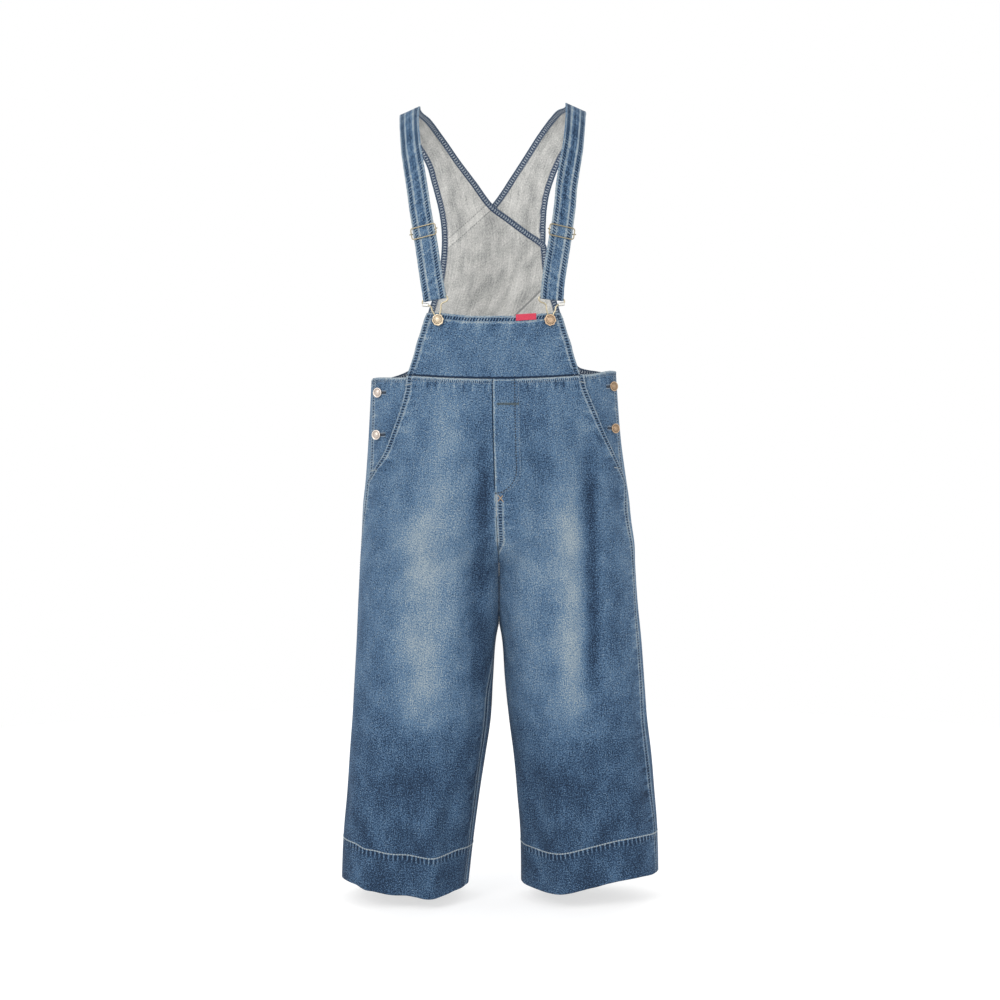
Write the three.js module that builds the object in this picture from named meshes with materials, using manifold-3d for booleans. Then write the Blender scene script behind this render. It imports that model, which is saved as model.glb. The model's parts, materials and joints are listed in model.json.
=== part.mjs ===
// Denim dungarees, filled out as if worn: wide cropped legs, a front bib, a high back whose
// shoulder wings cross, straps with wire sliders and clips, and side openings with buttons.
// Millimetres, +Z up. The front faces -Y and the wearer's left is +X. The origin lies at shoulder
// height, above the plane between the legs. Right and left are the wearer's.
import * as THREE from "three";
import { mergeVertices } from "three/addons/utils/BufferGeometryUtils.js";
import Module from "manifold-3d";

const wasm = await Module();
wasm.setup();

const radians = (degrees) => (degrees * Math.PI) / 180;

// Driving sizes
const CLOTH = 1.6; // thickness of one layer of denim
const HEM_CLOTH = 3.0; // the turned-up hem is two layers
const SEAM_GAP = 0.3; // between pieces that are sewn edge to edge
const LAP_GAP = 0.8; // between pieces that lie over each other
const MEDIAN_GAP = 0.3; // from the median plane to each leg's cloth
const HEM_HEIGHT = 67;
const STRAP_WIDTH = 37;
const STRAP_CLOTH = 1.8;
const WIRE = 2.1; // diameter of the slider's and the clip's wire
const WAIST = -466; // height of the front waist seam
const SIDE_TOP = -456; // height of the waist edge at the sides and the back
const CROTCH = -773;
const HEM = -1316;
const BIB_TOP = -363;
const OPENING_FOOT = -604; // where the buttoned side opening ends
const POCKET_FOOT = -622;
const MID_TOP = -8.5; // x of the middle line at the waist and above

// The body's outline at each height: mid is the x of the middle line; half the width; inner is
// where the far side of this half's oval lies, seen from the middle line; front and back are
// depths; square is the oval's exponent.
const TORSO = [
  { z: 60, mid: MID_TOP, outer: 188, inner: -188, front: -108, back: 106, square: 2.5 },
  { z: -213, mid: MID_TOP, outer: 190, inner: -190, front: -112, back: 106, square: 2.5 },
  { z: -363, mid: MID_TOP, outer: 204, inner: -204, front: -114, back: 97, square: 2.5 },
  { z: -459, mid: MID_TOP, outer: 210, inner: -210, front: -114, back: 90, square: 2.5 },
  { z: -561, mid: -7, outer: 216, inner: -214, front: -118, back: 112, square: 2.45 },
  { z: -629, mid: -5, outer: 222.5, inner: -200, front: -116, back: 124, square: 2.4 },
  { z: -697, mid: -4, outer: 227.5, inner: -140, front: -110, back: 122, square: 2.35 },
  { z: -740, mid: -2, outer: 231.5, inner: -60, front: -105, back: 115, square: 2.3 },
];
const LEG_RIGHT = [
  { z: CROTCH, mid: 0, outer: 235.5, inner: -14, front: -102, back: 109, square: 2.3 },
  { z: -833, mid: 0, outer: 238.5, inner: -9, front: -101, back: 105, square: 2.3 },
  { z: -901, mid: 0, outer: 241.5, inner: 5, front: -99, back: 101, square: 2.25 },
  { z: -969, mid: 0, outer: 245, inner: 10, front: -98, back: 98, square: 2.25 },
  { z: -1037, mid: 0, outer: 248.5, inner: 14, front: -96, back: 96, square: 2.25 },
  { z: -1105, mid: 0, outer: 253, inner: 24, front: -95, back: 94, square: 2.3 },
  { z: -1173, mid: 0, outer: 257, inner: 34, front: -94, back: 92, square: 2.3 },
  { z: -1241, mid: 0, outer: 263, inner: 43, front: -92, back: 90, square: 2.35 },
  { z: HEM - 10, mid: 0, outer: 266, inner: 53, front: -90, back: 89, square: 2.4 },
];
const LEG_LEFT = [
  { z: CROTCH, mid: 0, outer: 230.5, inner: -14, front: -102, back: 109, square: 2.3 },
  { z: -833, mid: 0, outer: 234.5, inner: -9, front: -101, back: 105, square: 2.3 },
  { z: -901, mid: 0, outer: 241.5, inner: 5, front: -98, back: 101, square: 2.2 },
  { z: -969, mid: 0, outer: 246.5, inner: 10, front: -96, back: 97, square: 2.2 },
  { z: -1037, mid: 0, outer: 251.5, inner: 17, front: -93, back: 93, square: 2.2 },
  { z: -1105, mid: 0, outer: 258.5, inner: 25.5, front: -90, back: 89, square: 2.15 },
  { z: -1173, mid: 0, outer: 263.5, inner: 31, front: -88, back: 86, square: 2.15 },
  { z: -1241, mid: 0, outer: 268.5, inner: 36, front: -86, back: 84, square: 2.1 },
  { z: HEM - 10, mid: 0, outer: 270.5, inner: 37.5, front: -84, back: 82, square: 2.1 },
];

// Where the seams run round each leg, in degrees towards the front from the outermost and the
// innermost point. The legs are turned a little, so the seams differ.
const SEAMS_RIGHT = [
  { z: SIDE_TOP, side: 15, inseam: -5 },
  { z: -630, side: 16, inseam: -5 },
  { z: -700, side: 12, inseam: -5 },
  { z: -790, side: -2, inseam: -4 },
  { z: -901, side: -8, inseam: 6 },
  { z: -1010, side: -10, inseam: 19 },
  { z: HEM, side: -10, inseam: 15 },
];
const SEAMS_LEFT = [
  { z: SIDE_TOP, side: 12, inseam: -5 },
  { z: -630, side: 14, inseam: -5 },
  { z: -700, side: 18, inseam: -5 },
  { z: -833, side: 17, inseam: -8 },
  { z: -901, side: 20, inseam: -14 },
  { z: -1105, side: 23, inseam: -18 },
  { z: HEM, side: 14, inseam: -16 },
];

// Soft folds: out is how far a ridge stands out (a trough is negative), from and to are the
// distances from the middle line at the fold's top and bottom, wide is half its width.
const FOLDS_RIGHT = [
  { face: "front", from: 34, to: 40, top: -560, bottom: -1075, out: -8, wide: 14 },
  { face: "front", from: 70, to: 84, top: -520, bottom: -1000, out: 4, wide: 20 },
  { face: "front", from: 116, to: 122, top: -470, bottom: -640, out: -3, wide: 12 },
  { face: "front", from: 158, to: 186, top: -500, bottom: -800, out: -4, wide: 13 },
  { face: "front", from: 104, to: 114, top: -1120, bottom: -1420, out: 13, wide: 22 },
  { face: "front", from: 150, to: 150, top: -1120, bottom: -1420, out: -5, wide: 18 },
  { face: "back", from: 60, to: 70, top: -760, bottom: -1100, out: -7, wide: 16 },
  { face: "back", from: 120, to: 140, top: -560, bottom: -900, out: -5, wide: 15 },
  { face: "back", from: 150, to: 165, top: -1000, bottom: -1420, out: 9, wide: 24 },
  { face: "back", from: 110, to: 105, top: -1100, bottom: -1420, out: -5, wide: 18 },
];
const FOLDS_LEFT = [
  { face: "front", from: 70, to: 72, top: -490, bottom: -820, out: -4, wide: 13 },
  { face: "front", from: 105, to: 110, top: -540, bottom: -1080, out: 5, wide: 18 },
  { face: "front", from: 148, to: 156, top: -520, bottom: -1060, out: -7, wide: 15 },
  { face: "front", from: 22, to: 22, top: -640, bottom: -860, out: -3, wide: 11 },
  { face: "front", from: 104, to: 112, top: -1080, bottom: -1420, out: 15, wide: 24 },
  { face: "front", from: 170, to: 180, top: -1130, bottom: -1420, out: -4, wide: 26 },
  { face: "back", from: 66, to: 60, top: -760, bottom: -1150, out: -7, wide: 16 },
  { face: "back", from: 130, to: 120, top: -560, bottom: -880, out: -5, wide: 15 },
  { face: "back", from: 130, to: 120, top: -1000, bottom: -1420, out: 9, wide: 24 },
  { face: "back", from: 180, to: 190, top: -1050, bottom: -1420, out: -5, wide: 20 },
];

// The hem's height differs a little round each leg: lift above HEM by distance from the middle.
const HEM_RIGHT = [
  { dist: 40, lift: 3 },
  { dist: 69, lift: 3.4 },
  { dist: 88, lift: -1 },
  { dist: 106, lift: -3.7 },
  { dist: 124, lift: -3 },
  { dist: 150, lift: -0.5 },
  { dist: 180, lift: 2 },
  { dist: 205, lift: 6.5 },
  { dist: 222, lift: 8 },
  { dist: 238, lift: 14 },
  { dist: 266, lift: 16 },
];
const HEM_LEFT = [
  { dist: 30, lift: 7 },
  { dist: 58, lift: 4 },
  { dist: 78, lift: 1 },
  { dist: 97, lift: 1.5 },
  { dist: 117, lift: 5.4 },
  { dist: 157, lift: 12.6 },
  { dist: 197, lift: 21 },
  { dist: 217, lift: 23.6 },
  { dist: 240, lift: 25 },
  { dist: 270, lift: 24 },
];

// The slanted pocket edge: distance from the middle line by height.
const POCKET_RIGHT = [
  { z: -456, dist: 140 },
  { z: -468, dist: 142.5 },
  { z: -520, dist: 156 },
  { z: -553, dist: 169 },
  { z: -590, dist: 185.5 },
  { z: POCKET_FOOT, dist: 207 },
];
const POCKET_LEFT = [
  { z: -456, dist: 145 },
  { z: -468, dist: 148 },
  { z: -531, dist: 172 },
  { z: -566, dist: 187 },
  { z: -600, dist: 203 },
  { z: POCKET_FOOT, dist: 212 },
];
const POCKET_LAP = 14; // how far the facing reaches under the front
const FACING_FOOT = POCKET_FOOT + 8;
const FACING_SUNK = CLOTH + LAP_GAP;
// Towards its foot the facing lies deeper and further from the side seam: from this far below
// its top, over this height, by this much.
const FACING_SINK = { below: 90, over: 60, by: 1.2 };

// At the side opening the back reaches under the pocket facing, as the stand that the buttons
// are sewn to: how many degrees it reaches forward, how deep it is sunk over its flat part and
// the spread after it, and over what heights the reach and the depth fade below the opening.
const STAND = { reach: 9, sunk: 6.4, flat: 20, spread: 60, fade: 10, foot: 70 };

// The waist edge is lifted at the side seam and where it meets the front's pocket edge (a drop is
// negative). The lift runs in over these distances from the middle line and fades out below and
// above the waist over these heights.
const WAIST_LIFT = { right: { side: -6, pocket: -9 }, left: { side: 6, pocket: -4 } };
const LIFT_FRONT = { start: 115, over: 25, pocket: 150, side: 55 };
const LIFT_BACK = { start: 100, over: 100 };
const LIFT_FADE = { below: -540, foot: 84, above: -400, top: 50 };

// The bib's side edge, by distance from the middle line.
const BIB_SIDE = [
  { z: -360, dist: 108 },
  { z: -373, dist: 113.5 },
  { z: -393, dist: 119.5 },
  { z: -412, dist: 126 },
  { z: -432, dist: 131 },
  { z: -451, dist: 137 },
  { z: -470, dist: 143 },
];
// The bib's top edge sags by dip between its corners: it is lowest up to flat from the middle
// line and rises over ease to corner above BIB_TOP.
const BIB_EDGE = { dip: 6, flat: 30, ease: 75, corner: 2 };
const WAIST_SAG = { low: -469, rise: 7, at: 140 }; // the waist seam curves up to the sides

// The side edge of the high back, by distance from the middle line.
const ARMHOLE = [
  { z: -209, dist: 91.5 },
  { z: -250, dist: 95 },
  { z: -292, dist: 102 },
  { z: -323, dist: 112 },
  { z: -360, dist: 122 },
  { z: -400, dist: 132 },
  { z: -425, dist: 140 },
  { z: -438, dist: 150 },
  { z: -445, dist: 168 },
  { z: -451, dist: 190 },
  { z: -456, dist: 206 },
];
// Each shoulder's wing from the strap seam down: its armhole edge and its neck edge at each step.
const WING_RIGHT = [
  { step: 0, arm: 160.2, armZ: -14.35, neck: 125.8, neckZ: -0.45 },
  { step: 1, arm: 151, armZ: -27, neck: 110.5, neckZ: -4.6 },
  { step: 2, arm: 135, armZ: -50, neck: 91.5, neckZ: -23.7 },
  { step: 3, arm: 118.5, armZ: -79, neck: 62, neckZ: -64.8 },
  { step: 4, arm: 110.5, armZ: -106, neck: 32, neckZ: -104.1 },
  { step: 5, arm: 104, armZ: -130, neck: 3, neckZ: -143 },
  { step: 6, arm: 98, armZ: -154, neck: -26, neckZ: -165.2 },
  { step: 7, arm: 93.6, armZ: -182, neck: -56, neckZ: -188.1 },
  { step: 8, arm: 92.2, armZ: -207, neck: -89, neckZ: -213 },
];
const WING_LEFT = [
  { step: 0, arm: 156.7, armZ: -8.94, neck: 122.3, neckZ: 4.96 },
  { step: 1, arm: 148.5, armZ: -21, neck: 107, neckZ: 5.8 },
  { step: 2, arm: 134, armZ: -44, neck: 86, neckZ: -10.5 },
  { step: 3, arm: 116, armZ: -73, neck: 59, neckZ: -49.6 },
  { step: 4, arm: 104.4, armZ: -101, neck: 30.4, neckZ: -93 },
  { step: 5, arm: 96.2, armZ: -128, neck: 2, neckZ: -135.5 },
  { step: 6, arm: 92, armZ: -154, neck: -26, neckZ: -166 },
  { step: 7, arm: 90.3, armZ: -182, neck: -56, neckZ: -188 },
  { step: 8, arm: 90, armZ: -206, neck: -88, neckZ: -209 },
];
const WING_STEPS = [0, 0.012, 0.05, 0.2, 0.45, 0.8, 1.3, 2, 3, 4, 5, 6, 7, 8];
// The outer wing lies off the back by its cloth and gap; above from it sinks to the strap seam's
// level, over this distance.
const WING_LIFT = { from: -30, over: 50, gap: 1.3 };
const WING_FOOT = { z: -222, dist: 89 }; // the outer wing's lower edge

// The figure under the shoulders: how deep the back and the chest lie below the shoulder line.
const SHOULDER = { dist: 142, slope: Math.tan(radians(22)), backFall: 45, chestFall: 90 };
const SHOULDER_Z = { right: -7, left: -3 }; // the left shoulder is carried a little higher

// The middle of each strap: turn is the angle forward over the shoulder from its top, where the
// strap is sewn to the wing, and past 90 the distance further down in millimetres.
const STRAP_START = 0;
const STRAP_RIGHT = [
  { turn: STRAP_START, dist: 143 },
  { turn: 60, dist: 138 },
  { turn: 156, dist: 124.2 },
  { turn: 196, dist: 118.8 },
  { turn: 249, dist: 110.5 },
];
const STRAP_LEFT = [
  { turn: STRAP_START, dist: 139.5 },
  { turn: 60, dist: 133 },
  { turn: 156, dist: 118.5 },
  { turn: 196, dist: 115 },
  { turn: 249, dist: 108 },
];
// How far each layer's middle lies off the chest. The two layers lie half either side of mid and
// open by bend where they go round the clip's bar, over the length ease. At the seam the strap
// lies at seam, over the length seat; at the slider it stands out by bulge, over spread. Up to
// blend above the clip's bar the strap turns into the clip's plane.
const STRAP_OFF = {
  mid: 1.75,
  half: 1.3,
  bend: 2.4,
  ease: 16,
  seam: -0.9,
  seat: 110,
  bulge: 1.4,
  spread: 6.5,
  blend: 30,
};
// Heights along the strap, from the slider's middle, where its rows lie closer.
const SLIDER_ROWS = [-14, -9, -5, -2.5, 0, 2.5, 5, 9, 14];
const SLIDER_ROOM = 17; // and the room that they take
const CLIP_ROWS = [3, 7]; // the same, from the clip's bar
const UNDER_LAYER = { start: 14, rows: 6, short: 3 }; // it ends short of the slider's middle
const STRAP_ACROSS = 3;

const BIB_BUTTON = { z: -373, sides: 32, lobes: 8 };
const LOBE = 0.05; // how far the lobes stand out and in, as a share of the radius
const BIB_BUTTON_PROFILE = [
  { radius: 2.3, height: SEAM_GAP },
  { radius: 2.3, height: 3.1 },
  { radius: 8.7, height: 3.1, lobed: true },
  { radius: 9.5, height: 3.9, lobed: true },
  { radius: 8.8, height: 5.0, lobed: true },
  { radius: 6.4, height: 5.1 },
  { radius: 5.6, height: 6.2 },
  { radius: 3.2, height: 5.9 },
  { radius: 1.2, height: 6.2 },
];
const BIB_BUTTON_DIST = { right: 90.2, left: 91.2 };
const CLIP_TILT = { right: 9, left: 5 }; // degrees outward from upright
const CLIP_BAR = 36.3; // from the button's middle to the clip's top bar
// Half of the clip's wire, from below the button's shank to the top bar: across and up from the
// button's middle.
const CLIP_WIRE = [
  { across: 0, up: -4.2 },
  { across: 3.0, up: -3.0 },
  { across: 4.1, up: 0 },
  { across: 4.0, up: 7.5 },
  { across: 5.4, up: 12 },
  { across: 7.4, up: 17 },
  { across: 7.9, up: 21.5 },
  { across: 9.6, up: 25 },
  { across: 13.5, up: 26.8 },
  { across: 18.2, up: 28 },
  { across: 21, up: 30.6 },
  { across: 21.1, up: 34 },
  { across: 19.6, up: 36 },
  { across: 17, up: CLIP_BAR },
];
// The slider's frame lies at off from the chest and its bar at bar, between the strap's layers.
const SLIDER = { z: -229, width: 43, height: 18.4, corner: 4, off: 5.6, bar: 1.95 };
// Half of the slider's bar from its outer end: across from the frame's side, and up from the
// bar's level to the frame's, as a share.
const SLIDER_BAR = [
  { across: 3.0, up: 1 },
  { across: 0.9, up: 1 },
  { across: -1.0, up: 0.45 },
  { across: -2.0, up: 0 },
  { across: -4.5, up: 0 },
];

const SIDE_BUTTONS = {
  right: { top: { z: -483, inset: 24 }, low: { z: -558, inset: 24 } },
  left: { top: { z: -481, inset: 20 }, low: { z: -547, inset: 23 } },
};
const SIDE_BUTTON_SIDES = 18;
// The button's shank turns its head towards the front by this angle in radians.
const SIDE_BUTTON_TURN = 0.42;
const SIDE_BUTTON_PROFILE = [
  { radius: 2.6, height: SEAM_GAP, turn: 0 },
  { radius: 2.2, height: 1.5, turn: 0.1 },
  { radius: 2.2, height: 4.1, turn: 1 },
  { radius: 7.7, height: 4.1, turn: 1 },
  { radius: 8.2, height: 4.8, turn: 1 },
  { radius: 7.5, height: 5.7, turn: 1 },
  { radius: 5.2, height: 5.4, turn: 1 },
  { radius: 4.5, height: 6.5, turn: 1 },
  { radius: 1.5, height: 6.8, turn: 1 },
];
// The fly's lap is toe wide at its foot, curves out to its width and reaches over the middle line.
const FLY = { width: 42, toe: 5, foot: -655, curve: 40, thick: 1.0, over: 1.6 };
const TAB = { from: 36, to: 69, z: -369.5, height: 10, thick: 0.8, tilt: 0.07 };

const colour = (r, g, b) => new THREE.Color().setRGB(r / 255, g / 255, b / 255, THREE.SRGBColorSpace);
const DENIM = new THREE.MeshStandardMaterial({ color: colour(86, 112, 142), roughness: 0.92, metalness: 0 });
const BRASS = new THREE.MeshStandardMaterial({ color: colour(196, 178, 128), roughness: 0.35, metalness: 1 });
const STEEL = new THREE.MeshStandardMaterial({ color: colour(206, 200, 180), roughness: 0.3, metalness: 1 });
const TAB_RED = new THREE.MeshStandardMaterial({ color: colour(200, 62, 84), roughness: 0.8 });

const clamp = (v, low, high) => Math.min(high, Math.max(low, v));
const mix = (a, b, t) => a + (b - a) * t;
const smooth = (t) => {
  const c = clamp(t, 0, 1);
  return c * c * (3 - 2 * c);
};

// A smooth curve through a table's rows: the value of column name where column key is at.
function column(rows, key, name, at) {
  const order = rows[0][key] < rows[rows.length - 1][key] ? 1 : -1;
  const last = rows.length - 1;
  let i = 0;
  while (i < last - 1 && order * (at - rows[i + 1][key]) > 0) i += 1;
  const slope = (k) => {
    const a = rows[Math.max(0, k - 1)];
    const b = rows[Math.min(last, k + 1)];
    return (b[name] - a[name]) / (b[key] - a[key]);
  };
  const a = rows[i];
  const b = rows[i + 1];
  const span = b[key] - a[key];
  const t = clamp((at - a[key]) / span, 0, 1);
  const t2 = t * t;
  const t3 = t2 * t;
  return (
    (2 * t3 - 3 * t2 + 1) * a[name] +
    (t3 - 2 * t2 + t) * span * slope(i) +
    (3 * t2 - 2 * t3) * b[name] +
    (t3 - t2) * span * slope(i + 1)
  );
}

// One half's oval at a height.
function ringAt(side, z) {
  const get = (name) => column(side.rings, "z", name, z);
  const outer = get("outer");
  const inner = get("inner");
  return {
    mid: get("mid"),
    centre: (outer + inner) / 2,
    half: (outer - inner) / 2,
    front: -get("front"),
    back: get("back"),
    square: get("square"),
  };
}

// A point of the oval at an angle from the outermost point towards the front, with its normal.
// dist is the distance from the middle line; inside the median plane it is held just clear of it.
function ovalPoint(ring, angle) {
  const power = 2 / ring.square;
  const c = Math.cos(angle);
  const s = Math.sin(angle);
  const depth = s >= 0 ? ring.front : ring.back;
  const across = Math.sign(c) * Math.abs(c) ** power;
  const along = Math.sign(s) * Math.abs(s) ** power;
  const steep = ring.square - 1;
  const normal = new THREE.Vector2(
    (Math.sign(across) * Math.abs(across) ** steep) / ring.half,
    (-Math.sign(along) * Math.abs(along) ** steep) / depth,
  ).normalize();
  const dist = ring.centre + ring.half * across;
  const flat = dist < MEDIAN_GAP;
  return {
    angle: Math.abs(angle),
    dist: flat ? MEDIAN_GAP : dist,
    y: -depth * along,
    nx: flat ? -1 : normal.x,
    ny: flat ? 0 : normal.y,
    flat,
  };
}

const FOLD_TURN = 1.6; // the folds fade as the cloth turns away from the front or the back
const FOLD_ENDS = 0.7; // and towards their ends

// How far the folds move a point out of the oval, in depth.
function foldDepth(side, face, dist, z) {
  let out = 0;
  for (const fold of side.folds) {
    if (fold.face !== face || z > fold.top || z < fold.bottom) continue;
    const t = (fold.top - z) / (fold.top - fold.bottom);
    const off = (dist - mix(fold.from, fold.to, t)) / fold.wide;
    const fade = Math.sin(Math.PI * t) ** FOLD_ENDS;
    out += fold.out * fade * Math.exp(-off * off);
  }
  return out;
}

// The crotch seam lies in the median plane: its depth at a height, for the front or the back.
const RISE_TOP = { front: -700, back: -672 };
function riseEnd(side, face, z, seamY) {
  const top = RISE_TOP[face];
  if (z >= top) return null;
  const ring = ringAt(side, top);
  const share = Math.abs(ring.centre / ring.half) ** ring.square;
  const depth = (1 - share) ** (1 / ring.square);
  const start = face === "front" ? -ring.front * depth : ring.back * depth;
  const t = (z - CROTCH) / (top - CROTCH);
  return mix(seamY, start, Math.sqrt(1 - (1 - t) * (1 - t)));
}

const OVAL_STEPS = 300;
// A leg panel's line at a height, from the side seam to the inner seam, as dense points.
function outline(side, face, z, reach = 0) {
  const ring = ringAt(side, z);
  const toFront = face === "front" ? 1 : -1;
  const from = radians(column(side.seams, "z", "side", z) + reach);
  const inseam = radians(column(side.seams, "z", "inseam", z));
  const to = face === "front" ? Math.PI - inseam : -Math.PI - inseam;
  const seamY = ovalPoint(ring, to).y;
  const end = z > CROTCH ? riseEnd(side, face, z, seamY) : null;
  const line = [];
  for (let k = 0; k <= OVAL_STEPS; k += 1) {
    const p = ovalPoint(ring, mix(from, to, k / OVAL_STEPS));
    if (z > CROTCH && p.flat && (end === null || toFront * (p.y - end) > 0)) {
      const last = line[line.length - 1];
      if (!last.flat) line.push({ ...p, nx: last.nx, ny: last.ny });
      break;
    }
    line.push(p);
  }
  const lengths = [0];
  for (let k = 1; k < line.length; k += 1) {
    const step = Math.hypot(line[k].dist - line[k - 1].dist, line[k].y - line[k - 1].y);
    lengths.push(lengths[k - 1] + step);
  }
  return { ring, line, lengths, total: lengths[lengths.length - 1] };
}

// Arc lengths of a row's columns: the innermost part, at the crotch and the inner leg, has
// columns of its own, so that the others keep their places.
function legArcs(path, start) {
  const { line, lengths, total } = path;
  let k = line.findIndex((p) => p.flat || p.angle > radians(INNER_ANGLE));
  if (k < 0) k = line.length - 1;
  const turn = Math.min(lengths[k], total - INNER_LEAST);
  const first = start + SEAM_GAP / 2;
  const last = total - SEAM_GAP / 2;
  return [...steps(first, turn, LEG_COLUMNS.face), ...evenly(turn, last, LEG_COLUMNS.inner)];
}

// The point of a dense line at an arc length.
function pointAt({ line, lengths }, arc) {
  let k = 1;
  while (k < line.length - 1 && lengths[k] < arc) k += 1;
  const t = clamp((arc - lengths[k - 1]) / Math.max(1e-9, lengths[k] - lengths[k - 1]), 0, 1);
  const a = line[k - 1];
  const b = line[k];
  return {
    dist: mix(a.dist, b.dist, t),
    y: mix(a.y, b.y, t),
    nx: mix(a.nx, b.nx, t),
    ny: mix(a.ny, b.ny, t),
    flat: a.flat && b.flat,
  };
}

// Arc length from the side seam to the front's pocket edge.
function pocketStart(side, path, z) {
  if (z <= POCKET_FOOT) return 0;
  const edge = column(side.pocket, "z", "dist", z);
  let k = 0;
  while (k < path.line.length - 1 && !(path.line[k].dist < edge && path.line[k].y < 0)) k += 1;
  return path.lengths[k];
}

function waistLift(side, face, dist, z) {
  const { side: outer, pocket } = side.waist;
  const fade = z < SIDE_TOP ? (z - LIFT_FADE.below) / LIFT_FADE.foot : (LIFT_FADE.above - z) / LIFT_FADE.top;
  if (face === "back") return outer * smooth((dist - LIFT_BACK.start) / LIFT_BACK.over) * smooth(fade);
  const front = mix(pocket, outer, smooth((dist - LIFT_FRONT.pocket) / LIFT_FRONT.side));
  return front * smooth((dist - LIFT_FRONT.start) / LIFT_FRONT.over) * smooth(fade);
}

// The legs' rows are lifted towards the hem and the waist, which aren't level.
const HEM_RISE = { from: -1000, over: 230 };
function lifted(side, face, dist, z) {
  const edge = clamp(dist, side.hem[0].dist, side.hem[side.hem.length - 1].dist);
  const hem = column(side.hem, "dist", "lift", edge) * smooth((HEM_RISE.from - z) / HEM_RISE.over);
  return z + hem + waistLift(side, face, dist, z);
}

const waistZ = (dist) => WAIST_SAG.low + WAIST_SAG.rise * (dist / WAIST_SAG.at) ** 2;

// Points and normals of a leg panel's row at given arc lengths; sunk is how deep each lies.
function legRow(side, face, path, level, arcs, sunk = () => 0, waist = false) {
  return arcs.map((arc) => {
    const p = pointAt(path, arc);
    const depth = sunk(arc);
    const dist = p.dist - p.nx * depth;
    let y = p.y - p.ny * depth;
    if (!p.flat) {
      const outward = face === "front" ? -1 : 1;
      y += outward * foldDepth(side, face, p.dist, level) * smooth(Math.abs(p.ny) * FOLD_TURN);
    }
    const z = waist ? waistZ(dist) - SEAM_GAP / 2 : lifted(side, face, dist, level);
    return {
      point: new THREE.Vector3(path.ring.mid + side.sign * dist, y, z),
      normal: new THREE.Vector3(side.sign * p.nx, p.ny, 0),
    };
  });
}

// A closed sheet of cloth from rows of points: lift is how far its outer face lies off them.
function sheet(rows, thick, lift = 0) {
  const thickOf = typeof thick === "function" ? thick : () => thick;
  const outer = rows.map((row) => row.map((p) => p.point.clone().addScaledVector(p.normal, lift)));
  const inner = rows.map((row, i) =>
    row.map((p) => p.point.clone().addScaledVector(p.normal, lift - thickOf(i))),
  );
  return slab(outer, inner);
}

function slab(outer, inner) {
  const rows = outer.length;
  const cols = outer[0].length;
  const points = [...outer.flat(), ...inner.flat()];
  const index = [];
  const at = (layer, i, j) => layer * rows * cols + i * cols + j;
  const quad = (a, b, c, d) => index.push(a, b, c, a, c, d);
  for (let i = 0; i < rows - 1; i += 1) {
    for (let j = 0; j < cols - 1; j += 1) {
      quad(at(0, i, j), at(0, i + 1, j), at(0, i + 1, j + 1), at(0, i, j + 1));
      quad(at(1, i, j), at(1, i, j + 1), at(1, i + 1, j + 1), at(1, i + 1, j));
    }
    quad(at(0, i, 0), at(1, i, 0), at(1, i + 1, 0), at(0, i + 1, 0));
    quad(at(0, i + 1, cols - 1), at(1, i + 1, cols - 1), at(1, i, cols - 1), at(0, i, cols - 1));
  }
  for (let j = 0; j < cols - 1; j += 1) {
    quad(at(0, 0, j + 1), at(1, 0, j + 1), at(1, 0, j), at(0, 0, j));
    quad(at(0, rows - 1, j), at(1, rows - 1, j), at(1, rows - 1, j + 1), at(0, rows - 1, j + 1));
  }
  return closedGeometry(points, index);
}

// Faces are turned outward by the sign of the volume.
function closedGeometry(points, index) {
  let volume = 0;
  for (let k = 0; k < index.length; k += 3) {
    const [a, b, c] = [points[index[k]], points[index[k + 1]], points[index[k + 2]]];
    volume += a.dot(new THREE.Vector3().crossVectors(b, c));
  }
  if (volume < 0) index.reverse();
  const geometry = new THREE.BufferGeometry().setFromPoints(points);
  geometry.setIndex(index);
  geometry.computeVertexNormals();
  return geometry;
}

const garment = new THREE.Group();
function add(name, geometry, material) {
  const mesh = new THREE.Mesh(geometry, material);
  mesh.name = name;
  garment.add(mesh);
}

const steps = (from, to, count) => Array.from({ length: count }, (_, k) => mix(from, to, k / count));
const evenly = (from, to, count) => [...steps(from, to, count), to];

const HEM_TOP = HEM + HEM_HEIGHT;
const LEG_LEVELS = [
  ...steps(-483, -643, 4),
  ...steps(-643, -745, 5),
  ...steps(-745, CROTCH, 3),
  ...steps(CROTCH, -890, 4),
  ...steps(-890, HEM_TOP + 1, 6),
  HEM_TOP + 1,
  HEM_TOP - 1,
  HEM + HEM_HEIGHT / 2,
  HEM,
];
const LEG_COLUMNS = { face: 10, inner: 4 }; // across the panel, and over its innermost part
const INNER_LEAST = 14; // the innermost part is at least this long
const INNER_ANGLE = 150; // and where the legs are free it starts at this many degrees

// A front or back leg panel, from the waist to the hem.
function legPanel(side, face) {
  const top = face === "front" ? WAIST : SIDE_TOP;
  const levels = [top, ...LEG_LEVELS];
  const rows = levels.map((level, i) => {
    const onStand = face === "back" ? smooth((level - OPENING_FOOT) / STAND.fade) : 0;
    const deep = face === "back" ? smooth((level - OPENING_FOOT + STAND.foot) / STAND.foot) : 0;
    const path = outline(side, face, level, STAND.reach * onStand);
    const start = face === "front" ? pocketStart(side, path, level) : 0;
    const arcs = legArcs(path, start);
    const sunk = (arc) => STAND.sunk * deep * (1 - smooth((arc - STAND.flat * onStand) / STAND.spread));
    return legRow(side, face, path, level, arcs, sunk, face === "front" && i === 0);
  });
  return sheet(rows, (i) => (levels[i] < HEM_TOP ? HEM_CLOTH : CLOTH));
}

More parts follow.
